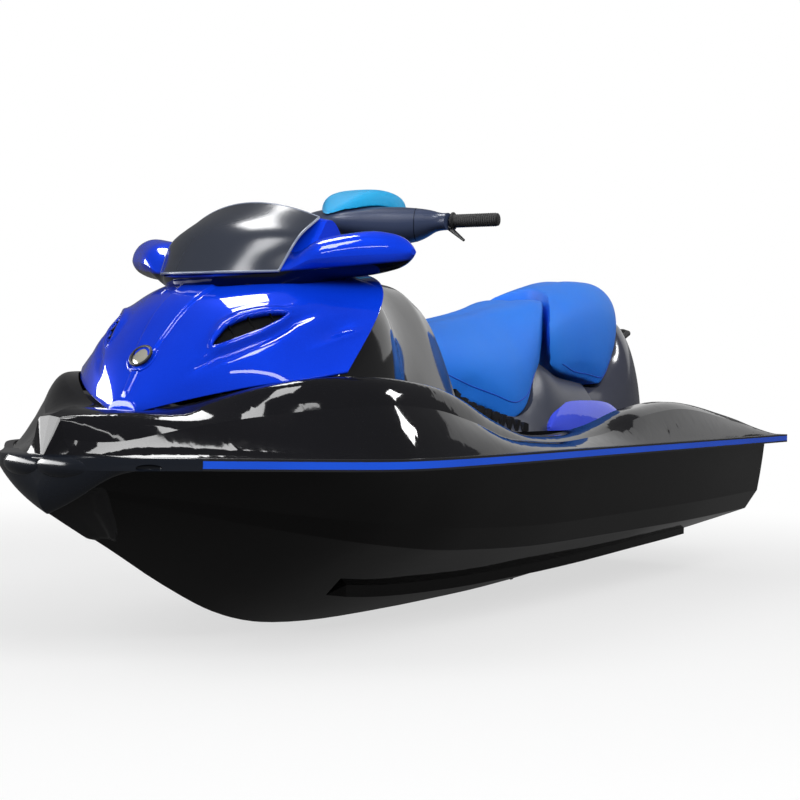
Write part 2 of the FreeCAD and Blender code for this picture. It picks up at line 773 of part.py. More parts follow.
def hinge_lugs():
    """Two lugs under the hood's nose, bored for the pin."""
    lugs = []
    for y in (HINGE_Y - HINGE_LUG, -HINGE_Y):
        start = Vector(HOOD_HINGE_X, y, HOOD_HINGE_Z)
        ring = Part.makeCylinder(HINGE_RING, HINGE_LUG, start, Vector(0, 1, 0))
        arm = box((HOOD_HINGE_X - 34, HOOD_HINGE_X), (y, y + HINGE_LUG),
                  (HOOD_HINGE_Z - 2, HOOD_HINGE_Z + 8))
        bore = Part.makeCylinder(HINGE_PIN + PIN_CLEAR, HINGE_LUG + 2, start - Vector(0, 1, 0),
                                 Vector(0, 1, 0))
        web = box((HOOD_HINGE_X - 34, HOOD_HINGE_X - 24), (y, y + HINGE_LUG),
                  (HOOD_HINGE_Z, HOOD_HINGE_Z + 80))
        web = web.common(hood_block(SHELL - 1, 60.0))
        lugs.append(ring.fuse([arm, web]).cut(bore))
    return lugs


def hood_shell():
    """Hood moulding with its crown band, two rimmed intakes and its hinge lugs."""
    shell = sheet(hood_grid(0.0), hood_grid(SHELL))
    eye = intake_eye(0.0, 70.0)
    rim = intake_rim()
    shell = shell.cut([eye, mirrored(eye)])
    return main_solid(shell.fuse([rim, mirrored(rim), hood_spine()] + hinge_lugs()))


def intake_grille():
    """Dark slatted plate behind the port intake, bonded to the hood's inside."""
    plate = sheet(hood_grid(SHELL), hood_grid(SHELL + 4))
    return plate.common(intake_eye(10.0, 70.0))


# Mirror cowl, from centre to tip: leading and trailing edge, their heights, the crown's
# roundness and thickness, and the level of its underside
cowl_front = fair([(0, 964), (60, 957), (100, 934), (150, 892), (178, 864), (250, 842),
                   (330, 782), (400, 722), (428, 690)])
cowl_back = fair([(0, 610), (150, 620), (250, 622), (330, 628), (400, 640), (428, 668)])
cowl_lead = fair([(0, 868), (100, 870), (178, 878), (250, 908), (330, 920), (400, 927), (428, 932)])
cowl_height = fair([(0, 905), (150, 910), (250, 922), (330, 932), (400, 935), (428, 934)])
cowl_round = fair([(0, 0.55), (178, 0.62), (250, 0.95), (428, 0.95)])
cowl_thick = fair([(0, 16), (150, 34), (250, 56), (330, 58), (400, 38), (428, 8)])
cowl_under = fair([(0, 800), (150, 815), (200, 832), (250, 862), (330, 874), (400, 897), (428, 926)])
DASH_HALF = 200.0
COWL_TIP = 428.0
MIRROR_X = fore(640.0)
MIRROR_TALL = 62.0
MIRROR_LONG = 120.0
MIRROR_THICK = 4.0


def cowl_section(y):
    """Closed wing section of the cowl in the plane at half-breadth y."""
    share = abs(y)
    front = cowl_front(share)
    back = cowl_back(share)
    deep = (front - back) / 2
    middle = (front + back) / 2
    height = cowl_height(share)
    thick = cowl_thick(share)
    under = cowl_under(share)
    at = lambda x, h: Vector(fore(x), out(y), up(h))
    lead = at(front, cowl_lead(share))
    trail = at(back, height)
    upper = arch([lead, at(middle + deep * cowl_round(share), height + thick),
                  at(middle - deep * 0.5, height + thick * 1.35), trail])
    lower = arch([trail, at(middle - deep * 0.6, under - thick * 0.3),
                  at(middle + deep * 0.9, under), lead])
    return [upper, lower]


def dash():
    """Rounded instrument housing on the cowl, behind the visor."""
    sections = []
    for share in spread(-1.0, 1.0, 11):
        bulge = share * share
        at = lambda x, h: Vector(fore(x), out(DASH_HALF * share), up(h))
        foot = at(850 - 60 * bulge, 895)
        lip = at(738 - 30 * bulge, 1032 - 22 * bulge)
        back = at(632, 965 - 6 * bulge)
        heel = at(632, 895)
        crown = arch([lip, at(700 - 20 * bulge, 1050 - 25 * bulge),
                      at(655, 1018 - 20 * bulge), back])
        sections.append([[foot, lip], crown, [back, heel], [heel, foot]])
    return form(sections)


@functools.cache
def mirror_cowl():
    """Cowl below the visor with the dash on it and a mirror pod at each end, cut flat there."""
    stations = spread(-COWL_TIP, COWL_TIP, 29)
    cowl = form([cowl_section(y) for y in stations]).fuse(dash())
    flat = box((fore(300), MIRROR_X), (out(235), out(500)), (up(700), up(1100)))
    return main_solid(cowl.cut([flat, mirrored(flat), hood_block(0.0, 60.0), hood_spine()]))


def mirror_glass():
    """Port mirror glass: an oval plate on the flat back of its pod."""
    oval = Part.Ellipse(Vector(0, 0, 0), MIRROR_LONG / 2, MIRROR_TALL / 2)
    face = Part.Face(Part.Wire(oval.toShape()))
    plate = face.extrude(Vector(0, 0, MIRROR_THICK))
    plate.rotate(Vector(0, 0, 0), Vector(1, 0, 0), 90)
    plate.rotate(Vector(0, 0, 0), Vector(0, 0, 1), 90)
    low = plate.BoundBox
    plate.translate(Vector(MIRROR_X - low.XMax, out(318), up(930)))
    return plate


VISOR_THICK = 5.0


def visor_grid(inset):
    """Rows of the visor from its foot to its top edge, port to starboard."""
    half = fair([(0, 178), (0.5, 190), (1, 186)])
    front = fair([(0, 972), (0.5, 882), (1, 750)])
    level = fair([(0, 876), (0.5, 982), (1, 1058)])
    sweep = fair([(0, 105), (0.5, 70), (1, 30)])
    droop = fair([(0, -8), (0.5, 20), (1, 38)])
    rows = []
    for v in spread(0.0, 1.0, 7):
        row = []
        for u in spread(1.0, -1.0, 13):
            x = fore(front(v) - sweep(v) * u * u) - inset * 0.75
            row.append(Vector(x, out(half(v)) * u * (1 - inset / 400),
                              up(level(v) - droop(v) * u * u) - inset * 0.66))
        rows.append(row)
    return rows


def visor():
    """Dark wind deflector standing on the cowl."""
    wall = sheet(visor_grid(0.0), visor_grid(VISOR_THICK))
    return main_solid(wall.cut([hood_block(-0.5, 60.0), hood_spine(), mirror_cowl()]))


BADGE_RADIUS = 24.0
BADGE_TALL = 10.0
BADGE_AT = (1128.0, 0.0, 676.0)


def badge():
    """Plain domed disc on the hood's nose."""
    look = Vector(0.78, 0, 0.62)
    centre = place(*BADGE_AT)
    disc = Part.makeCylinder(BADGE_RADIUS, 60.0, centre - look * 50, look)
    dome = Part.makeSphere(BADGE_RADIUS * 2.2)
    dome.translate(centre + look * (BADGE_TALL - BADGE_RADIUS * 2.2))
    return disc.common(dome).cut([hood_block(0.0, 60.0), hood_spine()])


# Console: station, base half-breadth and height, two controls, top height
console_lines = [
    (880, 352, 630, 352, 652, 290, 664, 660),
    (760, 346, 600, 350, 745, 300, 800, 790),
    (690, 340, 585, 345, 790, 292, 858, 850),
    (600, 325, 570, 328, 810, 280, 872, 862),
    (540, 305, 560, 305, 810, 250, 892, 882),
    (450, 280, 550, 258, 760, 175, 905, 893),
    (300, 262, 545, 210, 740, 125, 908, 895),
    (180, 240, 540, 180, 720, 118, 900, 890),
    (100, 222, 540, 155, 700, 112, 868, 862),
    (40, 205, 560, 142, 700, 104, 838, 832),
    (-20, 190, 590, 130, 710, 95, 805, 800),
    (-60, 170, 620, 115, 710, 85, 775, 772),
]


def bezier_forms(lines, steps):
    """A body from a table of stations with Bezier half sections, smoothly in between."""
    table = sorted(lines)
    stations = [row[0] for row in table]
    curves = [fair([(row[0], row[k]) for row in table]) for k in range(1, 8)]
    sections = []
    for x in spread(stations[0], stations[-1], steps):
        base_y, base_h, side_y, side_h, brow_y, brow_h, top_h = [c(x) for c in curves]
        port = arch([place(x, base_y, base_h), place(x, side_y, side_h),
                     place(x, brow_y, brow_h), place(x, 0, top_h)], 9)
        sections.append(domed(port))
    return form(sections)


def console():
    """Glossy console from under the hood's rear edge back over the saddle's nose."""
    body = bezier_forms(console_lines, 26)
    access = box((fore(690), fore(1000)), (-BIN_HALF - 20, BIN_HALF + 20),
                 (up(HOOD_TRAY), up(1000)))
    under_pad = box((fore(-200), fore(86)), (-300, 300), (0, up(1000)))
    return main_solid(body.cut([access, under_pad, steering_stem_space(), deck_body(), pad_form("front")]))


# Saddle in two pads and the tail behind it, in the same form of table
front_pad_lines = [
    (84, 118, 640, 138, 690, 92, 764, 752),
    (70, 122, 628, 148, 690, 108, 786, 770),
    (30, 134, 604, 162, 686, 122, 802, 784),
    (-40, 150, 574, 184, 690, 136, 814, 792),
    (-140, 175, 545, 205, 690, 150, 832, 806),
    (-270, 190, 512, 222, 700, 165, 852, 826),
    (-340, 190, 535, 222, 720, 165, 862, 840),
    (-460, 175, 665, 215, 770, 165, 885, 862),
    (-560, 170, 760, 205, 820, 160, 905, 880),
    (-720, 160, 810, 200, 850, 150, 910, 884),
]
rear_pad_lines = [
    (-480, 160, 700, 195, 800, 150, 905, 905),
    (-600, 165, 650, 205, 790, 160, 945, 915),
    (-760, 165, 632, 210, 800, 165, 985, 948),
    (-900, 160, 617, 205, 810, 165, 1005, 968),
    (-1000, 150, 680, 185, 850, 145, 1000, 970),
    (-1060, 130, 745, 160, 870, 125, 985, 955),
    (-1110, 105, 810, 125, 890, 95, 950, 930),
    (-1145, 80, 850, 90, 880, 65, 915, 900),
]
tail_lines = [
    (-800, 180, 490, 185, 560, 150, 640, 640),
    (-880, 185, 490, 190, 580, 150, 650, 650),
    (-1040, 185, 490, 190, 640, 150, 760, 760),
    (-1120, 180, 490, 185, 700, 140, 850, 850),
    (-1180, 170, 490, 175, 690, 120, 870, 870),
    (-1250, 150, 490, 150, 640, 100, 820, 830),
    (-1300, 120, 490, 115, 600, 70, 760, 770),
]
pedestal_lines = [
    (66, 205, 490, 170, 560, 110, 640, 640),
    (0, 215, 490, 185, 560, 125, 640, 640),
    (-140, 222, 490, 200, 540, 150, 600, 610),
    (-270, 225, 490, 205, 530, 160, 580, 600),
    (-400, 225, 490, 210, 560, 150, 680, 690),
    (-500, 225, 490, 205, 620, 150, 740, 750),
    (-620, 225, 490, 205, 600, 150, 700, 710),
    (-780, 222, 490, 200, 580, 150, 680, 690),
]
SEAM_CENTRE = -700.0
SEAM_SWEEP = 230.0
SEAM_HALF = 180.0


def pad_seam(shift):
    """Everything ahead of the swept seam between the two pads."""
    points = []
    for y in spread(-320.0, 320.0, 11):
        share = min(abs(y) / SEAM_HALF, 1.35)
        points.append(Vector(fore(SEAM_CENTRE + SEAM_SWEEP * share * share) + shift, out(y), up(400)))
    wall = through(points).toShape()
    front = fore(600.0)
    a = Vector(front, points[-1].y, points[-1].z)
    b = Vector(front, points[0].y, points[0].z)
    wire = Part.Wire([wall, Part.LineSegment(points[-1], a).toShape(),
                      Part.LineSegment(a, b).toShape(), Part.LineSegment(b, points[0]).toShape()])
    return Part.Face(wire).extrude(Vector(0, 0, 800))


@functools.cache
def pad_form(which):
    """A pad's whole form before the seam: front or rear."""
    return bezier_forms(front_pad_lines if which == "front" else rear_pad_lines, 24)


@functools.cache
def seat_base(which):
    """The pedestal's or the tail's whole form."""
    return bezier_forms(pedestal_lines if which == "pedestal" else tail_lines, 20)


def seat_front():
    """Rider's pad with its deep side skirts."""
    return pad_form("front").common(pad_seam(SEAM))


def seat_rear():
    """Passenger's pad, higher and behind the swept seam."""
    return pad_form("rear").cut(pad_seam(-SEAM / 2))


def seat_pedestal():
    """Hollow pedestal between the foot wells, over the engine."""
    body = seat_base("pedestal")
    hollow = box((ENGINE_X - ENGINE_LONG / 2 - 40, ENGINE_X + ENGINE_LONG / 2 - 10),
                 (-ENGINE_WIDE / 2 + 30, ENGINE_WIDE / 2 - 30), (up(ISLAND_HEIGHT) - 10, up(535)))
    return body.cut([pad_form("front"), pad_form("rear"), hollow])


def seat_tail():
    """Tail fairing that rises behind the passenger's pad."""
    return seat_base("tail").cut([pad_form("rear"), seat_base("pedestal")])


def accent_panel():
    """Coloured flank panel along the port foot of the pedestal."""
    rows = []
    for x, low_y, top_y, top_h in ((-410, 236, 224, 500), (-540, 240, 205, 568),
                                   (-714, 240, 205, 578), (-880, 238, 205, 566),
                                   (-960, 236, 222, 500)):
        foot = place(x, low_y, ISLAND_HEIGHT)
        crest = place(x, top_y, top_h)
        swell = place(x, (low_y + top_y) / 2 + 8, (ISLAND_HEIGHT + top_h) / 2 + 12)
        inner = place(x, 190, ISLAND_HEIGHT)
        back = place(x, 190, top_h)
        rows.append([arch([foot, swell, crest], 5), [crest, back], [back, inner], [inner, foot]])
    return form(rows).cut([seat_base("pedestal"), seat_base("tail")])


LOUVRES = 9
LOUVRE_STEP = 36.0
LOUVRE_DEEP = 12.0
louvre_face = fair([(-285, 228), (-140, 216), (-20, 200), (62, 186)])


def louvre_strip():
    """Port air louvre below the rider's pad: a slanted strip cut through between its ribs."""
    rows = []
    for x, y, low, high in ((62, 186, 545, 612), (-20, 200, 524, 574), (-140, 216, 500, 545),
                            (-285, 228, 491, 512)):
        rows.append([[place(x, y, low), place(x, y, high)],
                     [place(x, y, high), place(x, y - 60, high)],
                     [place(x, y - 60, high), place(x, y - 60, low)],
                     [place(x, y - 60, low), place(x, y, low)]])
    strip = form(rows)
    slots = []
    for i in range(LOUVRES):
        x = 46.0 - LOUVRE_STEP * i
        middle = place(x, 150 + LOUVRE_STEP * 0.2 * i, 560 - LOUVRE_STEP * 0.22 * i)
        slot = box((-LOUVRE_STEP * 0.28, LOUVRE_STEP * 0.28), (0, 100), (-60, 60))
        slot.rotate(Vector(0, 0, 0), Vector(0, 1, 0), -24)
        slot.translate(Vector(middle.x, louvre_face(x) - LOUVRE_DEEP, middle.z))
        slots.append(slot)
    return strip.cut([seat_base("pedestal"), pad_form("front")] + slots)


# Steering column: a point on its axis and its tilt
COLUMN_AT = (300.0, 0.0, 1050.0)
COLUMN_TILT = 27.0
STEM_RADIUS = 24.0


def column_axis():
    tilt = math.radians(COLUMN_TILT)
    return Vector(-math.sin(tilt), 0, math.cos(tilt))


def column_point(height):
    """Point on the column axis at a height above the keel."""
    start = place(*COLUMN_AT)
    axis = column_axis()
    return start + axis * ((up(height) - start.z) / axis.z)


def steering_stem_space():
    return rod(column_point(780), column_point(1000), STEM_RADIUS + PIN_CLEAR)


def steering_stem():
    """Column tube from its bearing in the console up to the handlebar's clamp."""
    return rod(column_point(782), column_point(1000), STEM_RADIUS)


def bar_centre():
    return place(*COLUMN_AT)


def bar_path():
    """Axis of the bar's port half: clamp, bend, inner and outer end of the grip's core."""
    centre = bar_centre()
    return [Vector(centre.x, 0, centre.z - 12), Vector(centre.x, 90, centre.z - 12),
            Vector(centre.x - 75, 215, centre.z + 2), Vector(centre.x - 97, BAR_HALF, centre.z + 4)]


def handlebar():
    """Bent bar: a straight clamp length, two raking sides and the level grips' core."""
    points = bar_path()
    pieces = [rod(a, b, BAR_RADIUS) for a, b in zip(points, points[1:])]
    pieces += [Part.makeSphere(BAR_RADIUS, p) for p in points[1:-1]]
    port = pieces[0].fuse(pieces[1:])
    return port.fuse(mirrored(port)).removeSplitter()


def grip():
    """Port rubber grip with an end flange."""
    start, end = bar_path()[-2:]
    line = (end - start).normalize()
    tip = end + line * 3
    body = rod(tip - line * GRIP_LONG, tip, GRIP_RADIUS)
    flange = rod(tip - line * GRIP_LONG, tip - line * (GRIP_LONG - 5), GRIP_RADIUS + 7)
    core = rod(start, end, BAR_RADIUS)
    return body.fuse(flange).cut(core)


def bar_housing():
    """Dark cover over the clamp and the inner bar, drawn out to a block at each end."""
    half_lines = [(0, 285, 142, 1044, 1042, 46), (80, 285, 92, 1044, 1042, 48),
                  (150, 255, 66, 1044, 1042, 47), (200, 240, 40, 1050, 1050, 33),
                  (225, 234, 27, 1051, 1051, 25), (252, 231, 24, 1051, 1051, 23)]
    rows = []
    for side in (-1, 1):
        for y, x_mid, deep, edge, height, thick in sorted(half_lines, reverse=side < 0):
            if side > 0 and y == 0:
                continue
            at = lambda x, h: Vector(fore(x), out(side * y), up(h))
            lead = at(x_mid + deep, edge)
            trail = at(x_mid - deep, edge)
            rows.append([arch([lead, at(x_mid + deep, height + thick * 1.3),
                               at(x_mid - deep, height + thick * 1.3), trail]),
                         arch([trail, at(x_mid - deep, height - thick * 1.3),
                               at(x_mid + deep, height - thick * 1.3), lead])])
    body = form(rows)
    return body.cut([handlebar(), steering_stem()])


def bar_pad():
    """Coloured crash pad on top of the handlebar cover, drawn to a point fore and aft."""
    rows = []
    for x, half, low, high in ((92, 12, 1092, 1100), (120, 52, 1084, 1121), (170, 80, 1074, 1137),
                               (250, 92, 1062, 1142), (330, 80, 1056, 1128), (385, 50, 1052, 1101),
                               (424, 12, 1050, 1066)):
        port = arch([place(x, half, low), place(x, half, high), place(x, half * 0.7, high),
                     place(x, 0, high)], 7)
        rows.append(domed(port))
    return form(rows).cut(bar_housing())


def bar_lever():
    """Port thumb lever: a tapered blade hung below the inner end of the grip."""
    root = place(222, 243, 1040)
    tip = place(234, 302, 1000)
    line = tip - root
    blade = Part.makeCone(7.5, 3.5, line.Length, root, line)
    return blade.cut([handlebar(), grip(), bar_housing()])


OUTLET_TUBE = 48.0


def pump_profile():
    """Half profile of the pump's outside, from the tunnel's front wall aft."""
    outer = JET_BORE + JET_WALL
    return [(PUMP_FRONT, JET_BORE), (PUMP_FRONT, outer + 8), (PUMP_FRONT - 10, outer + 8),
            (PUMP_FRONT - 10, outer), (PUMP_BACK, outer),
            (OUTLET_X + OUTLET_TUBE, OUTLET_BORE + OUTLET_WALL),
            (OUTLET_X, OUTLET_BORE + OUTLET_WALL), (OUTLET_X, OUTLET_BORE),
            (OUTLET_X + OUTLET_TUBE, OUTLET_BORE), (PUMP_BACK, JET_BORE)]


LUG_HALF = 20.0
NOZZLE_BORE = 58.0
NOZZLE_EXIT = 47.0
NOZZLE_WALL = 6.0
NOZZLE_LONG = 115.0
NOZZLE_LAP = 8.0
NOZZLE_PIN = 6.0
LUG_THICK = 8.0
LUG_GAP = 5.0
GATE_PIN = 7.0
GATE_ARM = 90.0
GATE_THICK = 6.0
GATE_RADIUS = 122.0
GATE_X = NOZZLE_PIVOT - 6.0


def pump_housing():
    """Jet pump: flanged barrel, cone and outlet, and the lugs for nozzle and gate."""
    barrel = revolve_x(pump_profile(), JET_Z)
    lug_in = NOZZLE_BORE + NOZZLE_WALL + LUG_GAP
    lugs = []
    for side in (1, -1):
        lug = box((NOZZLE_PIVOT - LUG_HALF, PUMP_BACK + 20), (-LUG_HALF, LUG_HALF),
                  (lug_in, lug_in + LUG_THICK))
        web = box((PUMP_BACK - 30, PUMP_BACK + 20), (-LUG_HALF, LUG_HALF),
                  (JET_BORE - 20, lug_in + LUG_THICK))
        web = web.cut(box((PUMP_BACK - 40, PUMP_BACK + 30), (-30, 30), (0, JET_BORE - 10)))
        lug = lug.fuse(web)
        if side < 0:
            lug = lug.mirror(Vector(0, 0, 0), Vector(0, 0, 1))
        lug.translate(Vector(0, 0, JET_Z))
        lugs.append(lug)
        arm_y = GATE_ARM + GATE_THICK + LUG_GAP
        arm = box((GATE_X - LUG_HALF, PUMP_BACK + 20), (arm_y, arm_y + LUG_THICK),
                  (JET_Z - LUG_HALF, JET_Z + LUG_HALF))
        foot = box((PUMP_BACK + 2, PUMP_BACK + 20), (JET_BORE + 4, arm_y + LUG_THICK),
                   (JET_Z - LUG_HALF, JET_Z + LUG_HALF))
        arm = arm.fuse(foot)
        if side < 0:
            arm = mirrored(arm)
        lugs.append(arm)
    body = barrel.fuse(lugs)
    water = revolve_x([(PUMP_FRONT + 1, 0), (PUMP_FRONT + 1, JET_BORE), (PUMP_BACK, JET_BORE),
                       (OUTLET_X + OUTLET_TUBE, OUTLET_BORE), (OUTLET_X - 1, OUTLET_BORE),
                       (OUTLET_X - 1, 0)], JET_Z)
    pins = [rod(Vector(NOZZLE_PIVOT, 0, JET_Z - 120), Vector(NOZZLE_PIVOT, 0, JET_Z + 120),
                NOZZLE_PIN + PIN_CLEAR),
            rod(Vector(GATE_X, -120, JET_Z), Vector(GATE_X, 120, JET_Z), GATE_PIN + PIN_CLEAR)]
    return body.cut(pins + [water])


HUB_FRONT = PUMP_FRONT - 135.0
HUB_RADIUS = 36.0
HUB_END = 30.0
VANES = 7
VANE_THICK = 4.0
VANE_TWIST = 32.0


def stator_vane():
    """One guide vane from hub to barrel: it meets the swirl aslant and ends straight."""
    front = HUB_FRONT - 12.0
    back = PUMP_BACK + 5.0
    sides = []
    for shift in (VANE_THICK / 2, -VANE_THICK / 2):
        rows = []
        for radius in spread(HUB_END - 2, JET_BORE + 2, 5):
            row = []
            for share in spread(0.0, 1.0, 7):
                turn = math.radians(VANE_TWIST) * (1 - share) ** 2
                centre = Vector(front + (back - front) * share, 0, JET_Z)
                spoke = Vector(0, math.sin(turn), math.cos(turn))
                side = Vector(0, math.cos(turn), -math.sin(turn))
                row.append(centre + spoke * radius + side * shift)
            rows.append(row)
        sides.append(rows)
    return sheet(sides[0], sides[1])


def stator():
    """Stator: a tapered hub that carries the shaft's rear bearing, with curved guide vanes."""
    hub = revolve_x([(HUB_FRONT, 0), (HUB_FRONT, HUB_RADIUS), (PUMP_BACK, HUB_END),
                     (PUMP_BACK - 24, 16), (PUMP_BACK - 40, 0)], JET_Z)
    vanes = []
    for i in range(VANES):
        vane = stator_vane()
        vane.rotate(Vector(0, 0, JET_Z), Vector(1, 0, 0), i * 360 / VANES)
        vanes.append(vane)
    bore = rod(Vector(HUB_FRONT + 1, 0, JET_Z), Vector(HUB_FRONT - 60, 0, JET_Z),
               SHAFT_RADIUS + PIN_CLEAR)
    inside = rod(Vector(PUMP_FRONT, 0, JET_Z), Vector(PUMP_BACK, 0, JET_Z), JET_BORE)
    return hub.fuse(vanes).common(inside.fuse(hub)).cut(bore)


def nozzle():
    """Steering nozzle: a tapered tube with a pivot pin above and below."""
    front = OUTLET_X + NOZZLE_LAP
    back = front - NOZZLE_LONG
    tube = revolve_x([(front, NOZZLE_BORE), (front, NOZZLE_BORE + NOZZLE_WALL),
                      (back, NOZZLE_EXIT + NOZZLE_WALL), (back, NOZZLE_EXIT)], JET_Z)
    reach = NOZZLE_BORE + NOZZLE_WALL + LUG_GAP + LUG_THICK
    pins = [rod(Vector(NOZZLE_PIVOT, 0, JET_Z + s * (NOZZLE_BORE + 1)),
                Vector(NOZZLE_PIVOT, 0, JET_Z + s * reach), NOZZLE_PIN) for s in (1, -1)]
    return tube.fuse(pins)


GATE_LOW = 18.0
GATE_HIGH = 92.0


def reverse_gate():
    """Reverse bucket, stowed above the nozzle: two arms and a curved shell on side pins."""
    outer = Part.makeCylinder(GATE_RADIUS + GATE_THICK, 2 * (GATE_ARM + GATE_THICK),
                              Vector(GATE_X, -GATE_ARM - GATE_THICK, JET_Z), Vector(0, 1, 0))
    inner = Part.makeCylinder(GATE_RADIUS, 2 * GATE_ARM,
                              Vector(GATE_X, -GATE_ARM, JET_Z), Vector(0, 1, 0))
    reach = 2 * GATE_RADIUS
    low = math.radians(GATE_LOW)
    high = math.radians(GATE_HIGH)
    wedge = side_cut([(GATE_X, JET_Z),
                      (GATE_X - reach * math.cos(low), JET_Z + reach * math.sin(low)),
                      (GATE_X - reach, JET_Z + reach),
                      (GATE_X - reach * math.cos(high), JET_Z + reach * math.sin(high))], 200.0)
    shell = outer.cut(inner).common(wedge)
    pieces = []
    for side in (1, -1):
        inside = GATE_ARM if side > 0 else -GATE_ARM - GATE_THICK
        boss = Part.makeCylinder(LUG_HALF, GATE_THICK, Vector(GATE_X, inside, JET_Z), Vector(0, 1, 0))
        pin_end = side * (GATE_ARM + GATE_THICK + LUG_GAP + LUG_THICK)
        pieces.append(boss)
        pieces.append(rod(Vector(GATE_X, side * (GATE_ARM + 1), JET_Z),
                          Vector(GATE_X, pin_end, JET_Z), GATE_PIN))
    return shell.fuse(pieces)


IMPELLER_PITCH = 190.0
BLADES = 3
BLADE_ROOT = 24.0
IMPELLER_HUB = 38.0
BLADE_THICK = 4.0
BLADE_TURN = 120.0


def impeller_blade():
    """One helical blade, as a sheet between two radii with the pitch of a screw."""
    lift = IMPELLER_PITCH / (2 * math.pi)
    sides = []
    for shift in (BLADE_THICK / 2, -BLADE_THICK / 2):
        rows = []
        for radius in spread(BLADE_ROOT, JET_BORE - BLADE_CLEAR, 6):
            row = []
            for turn in spread(-BLADE_TURN / 2, BLADE_TURN / 2, 9):
                angle = math.radians(turn)
                skew = 0.25 * (radius - BLADE_ROOT) / JET_BORE
                row.append(Vector(IMPELLER_X + lift * angle + shift,
                                  radius * math.sin(angle + skew),
                                  JET_Z + radius * math.cos(angle + skew)))
            rows.append(row)
        sides.append(rows)
    return sheet(sides[0], sides[1])


def impeller():
    """Impeller on its drive shaft: a tapered hub with three overlapping helical blades."""
    front = IMPELLER_X + IMPELLER_HUB
    back = IMPELLER_X - IMPELLER_HUB
    hub = revolve_x([(front + 30, SHAFT_RADIUS), (front, BLADE_ROOT + 2), (back, BLADE_ROOT + 10),
                     (back, 0), (front + 30, 0)], JET_Z)
    shaft = rod(Vector(HUB_FRONT - 45, 0, JET_Z), Vector(ENGINE_X - ENGINE_LONG / 2 - 1, 0, JET_Z),
                SHAFT_RADIUS)
    blades = []
    for i in range(BLADES):
        blade = impeller_blade()
        blade.rotate(Vector(0, 0, JET_Z), Vector(1, 0, 0), i * 360 / BLADES)
        blades.append(blade)
    return hub.fuse([shaft] + blades)


PLATE_GAP = 0.3
RIDE_THICK = 10.0
GRATE_THICK = 14.0
GRATE_BARS = 5
GRATE_SLOT = 28.0
GRATE_BORDER = 25.0


def vee_plate(front, back, half, thick):
    """A plate that follows the hull's vee bottom between two stations."""
    bare = hull_form()
    lifted = bare.copy()
    lifted.translate(Vector(0, 0, thick))
    return bare.common(box((back, front), (-half, half), (-DRAFT - 5, 0))).cut(lifted)


def ride_plate():
    """Ride plate that closes the tunnel below the pump."""
    return vee_plate(TUNNEL_FRONT - 2, TRANSOM_X + 30, TUNNEL_HALF - PLATE_GAP, RIDE_THICK)


def intake_grate():
    """Grate over the intake: a frame with bars along the flow."""
    front = INTAKE_FRONT - 10
    back = TUNNEL_FRONT + 75
    plate = vee_plate(front, back, JET_BORE - PLATE_GAP, GRATE_THICK)
    slots = []
    step = 2 * JET_BORE / (GRATE_BARS - 1)
    for i in range(GRATE_BARS - 1):
        y = step * (i + 0.5) - JET_BORE
        slots.append(box((back + GRATE_BORDER, front - GRATE_BORDER),
                         (y - GRATE_SLOT / 2, y + GRATE_SLOT / 2), (-DRAFT - 20, 0)))
    return plate.cut(slots)


def engine_block():
    """The engine as one plain block on the bay's floor."""
    return box((ENGINE_X - ENGINE_LONG / 2, ENGINE_X + ENGINE_LONG / 2),
               (-ENGINE_WIDE / 2, ENGINE_WIDE / 2), (ENGINE_Z, ENGINE_Z + ENGINE_TALL))


def storage_bin():
    """Open storage tub hung in the deck under the hood."""
    top = up(HOOD_TRAY) + BIN_WALL
    low = top - BIN_DEEP
    tub = slab(bin_outline(0.0), 40.0, low, top)
    lip = slab(bin_outline(14.0), 50.0, up(HOOD_TRAY), top)
    inner = slab(bin_outline(-BIN_WALL), 36.0, low + BIN_WALL, top + 1)
    return tub.fuse(lip).cut(inner)


MAT_MARGIN = 25.0
MAT_THICK = 5.0


def floor_mat():
    """Soft traction mat on the floor of the port foot well."""
    y0 = WELL_INNER + MAT_MARGIN
    y1 = WELL_OUTER - TUB_WALL - MAT_MARGIN
    floor = up(FLOOR_HEIGHT) + SOFT_GAP
    corners = [(WELL_REAR + 60, y0), (WELL_FRONT - 60, y0), (WELL_FRONT - 60, y1 - 75),
               (WELL_FRONT - 330, y1), (WELL_REAR + 60, y1)]
    return slab(corners, 20.0, floor, floor + MAT_THICK)


def platform_mat():
    """Soft traction mat on the stern platform."""
    floor = up(PLATFORM_HEIGHT) + SOFT_GAP
    corners = [(STERN_X + 50, -400), (fore(-1320), -400), (fore(-1320), 400), (STERN_X + 50, 400)]
    return slab(corners, 40.0, floor, floor + 6)


HANDLE_RADIUS = 10.0


def grab_handle():
    """Passenger's grab handle: a bowed bar let into the back of the tail."""
    points = [place(-1225, 78, 782), place(-1300, 72, 806), place(-1322, 45, 812),
              place(-1322, -45, 812), place(-1300, -72, 806), place(-1225, -78, 782)]
    pieces = [rod(p, q, HANDLE_RADIUS) for p, q in zip(points, points[1:])]
    pieces += [Part.makeSphere(HANDLE_RADIUS, p) for p in points[1:-1]]
    return main_solid(pieces[0].fuse(pieces[1:]).cut(seat_base("tail")))


# Lifting and towing eyes on the transom
EYE_BORE = 11.0
EYE_THICK = 10.0
EYE_RING = 9.0
EYE_REACH = 26.0
EYE_X = TRANSOM_X - EYE_REACH
EYE_Y = out(330.0)
EYE_Z = up(385.0)


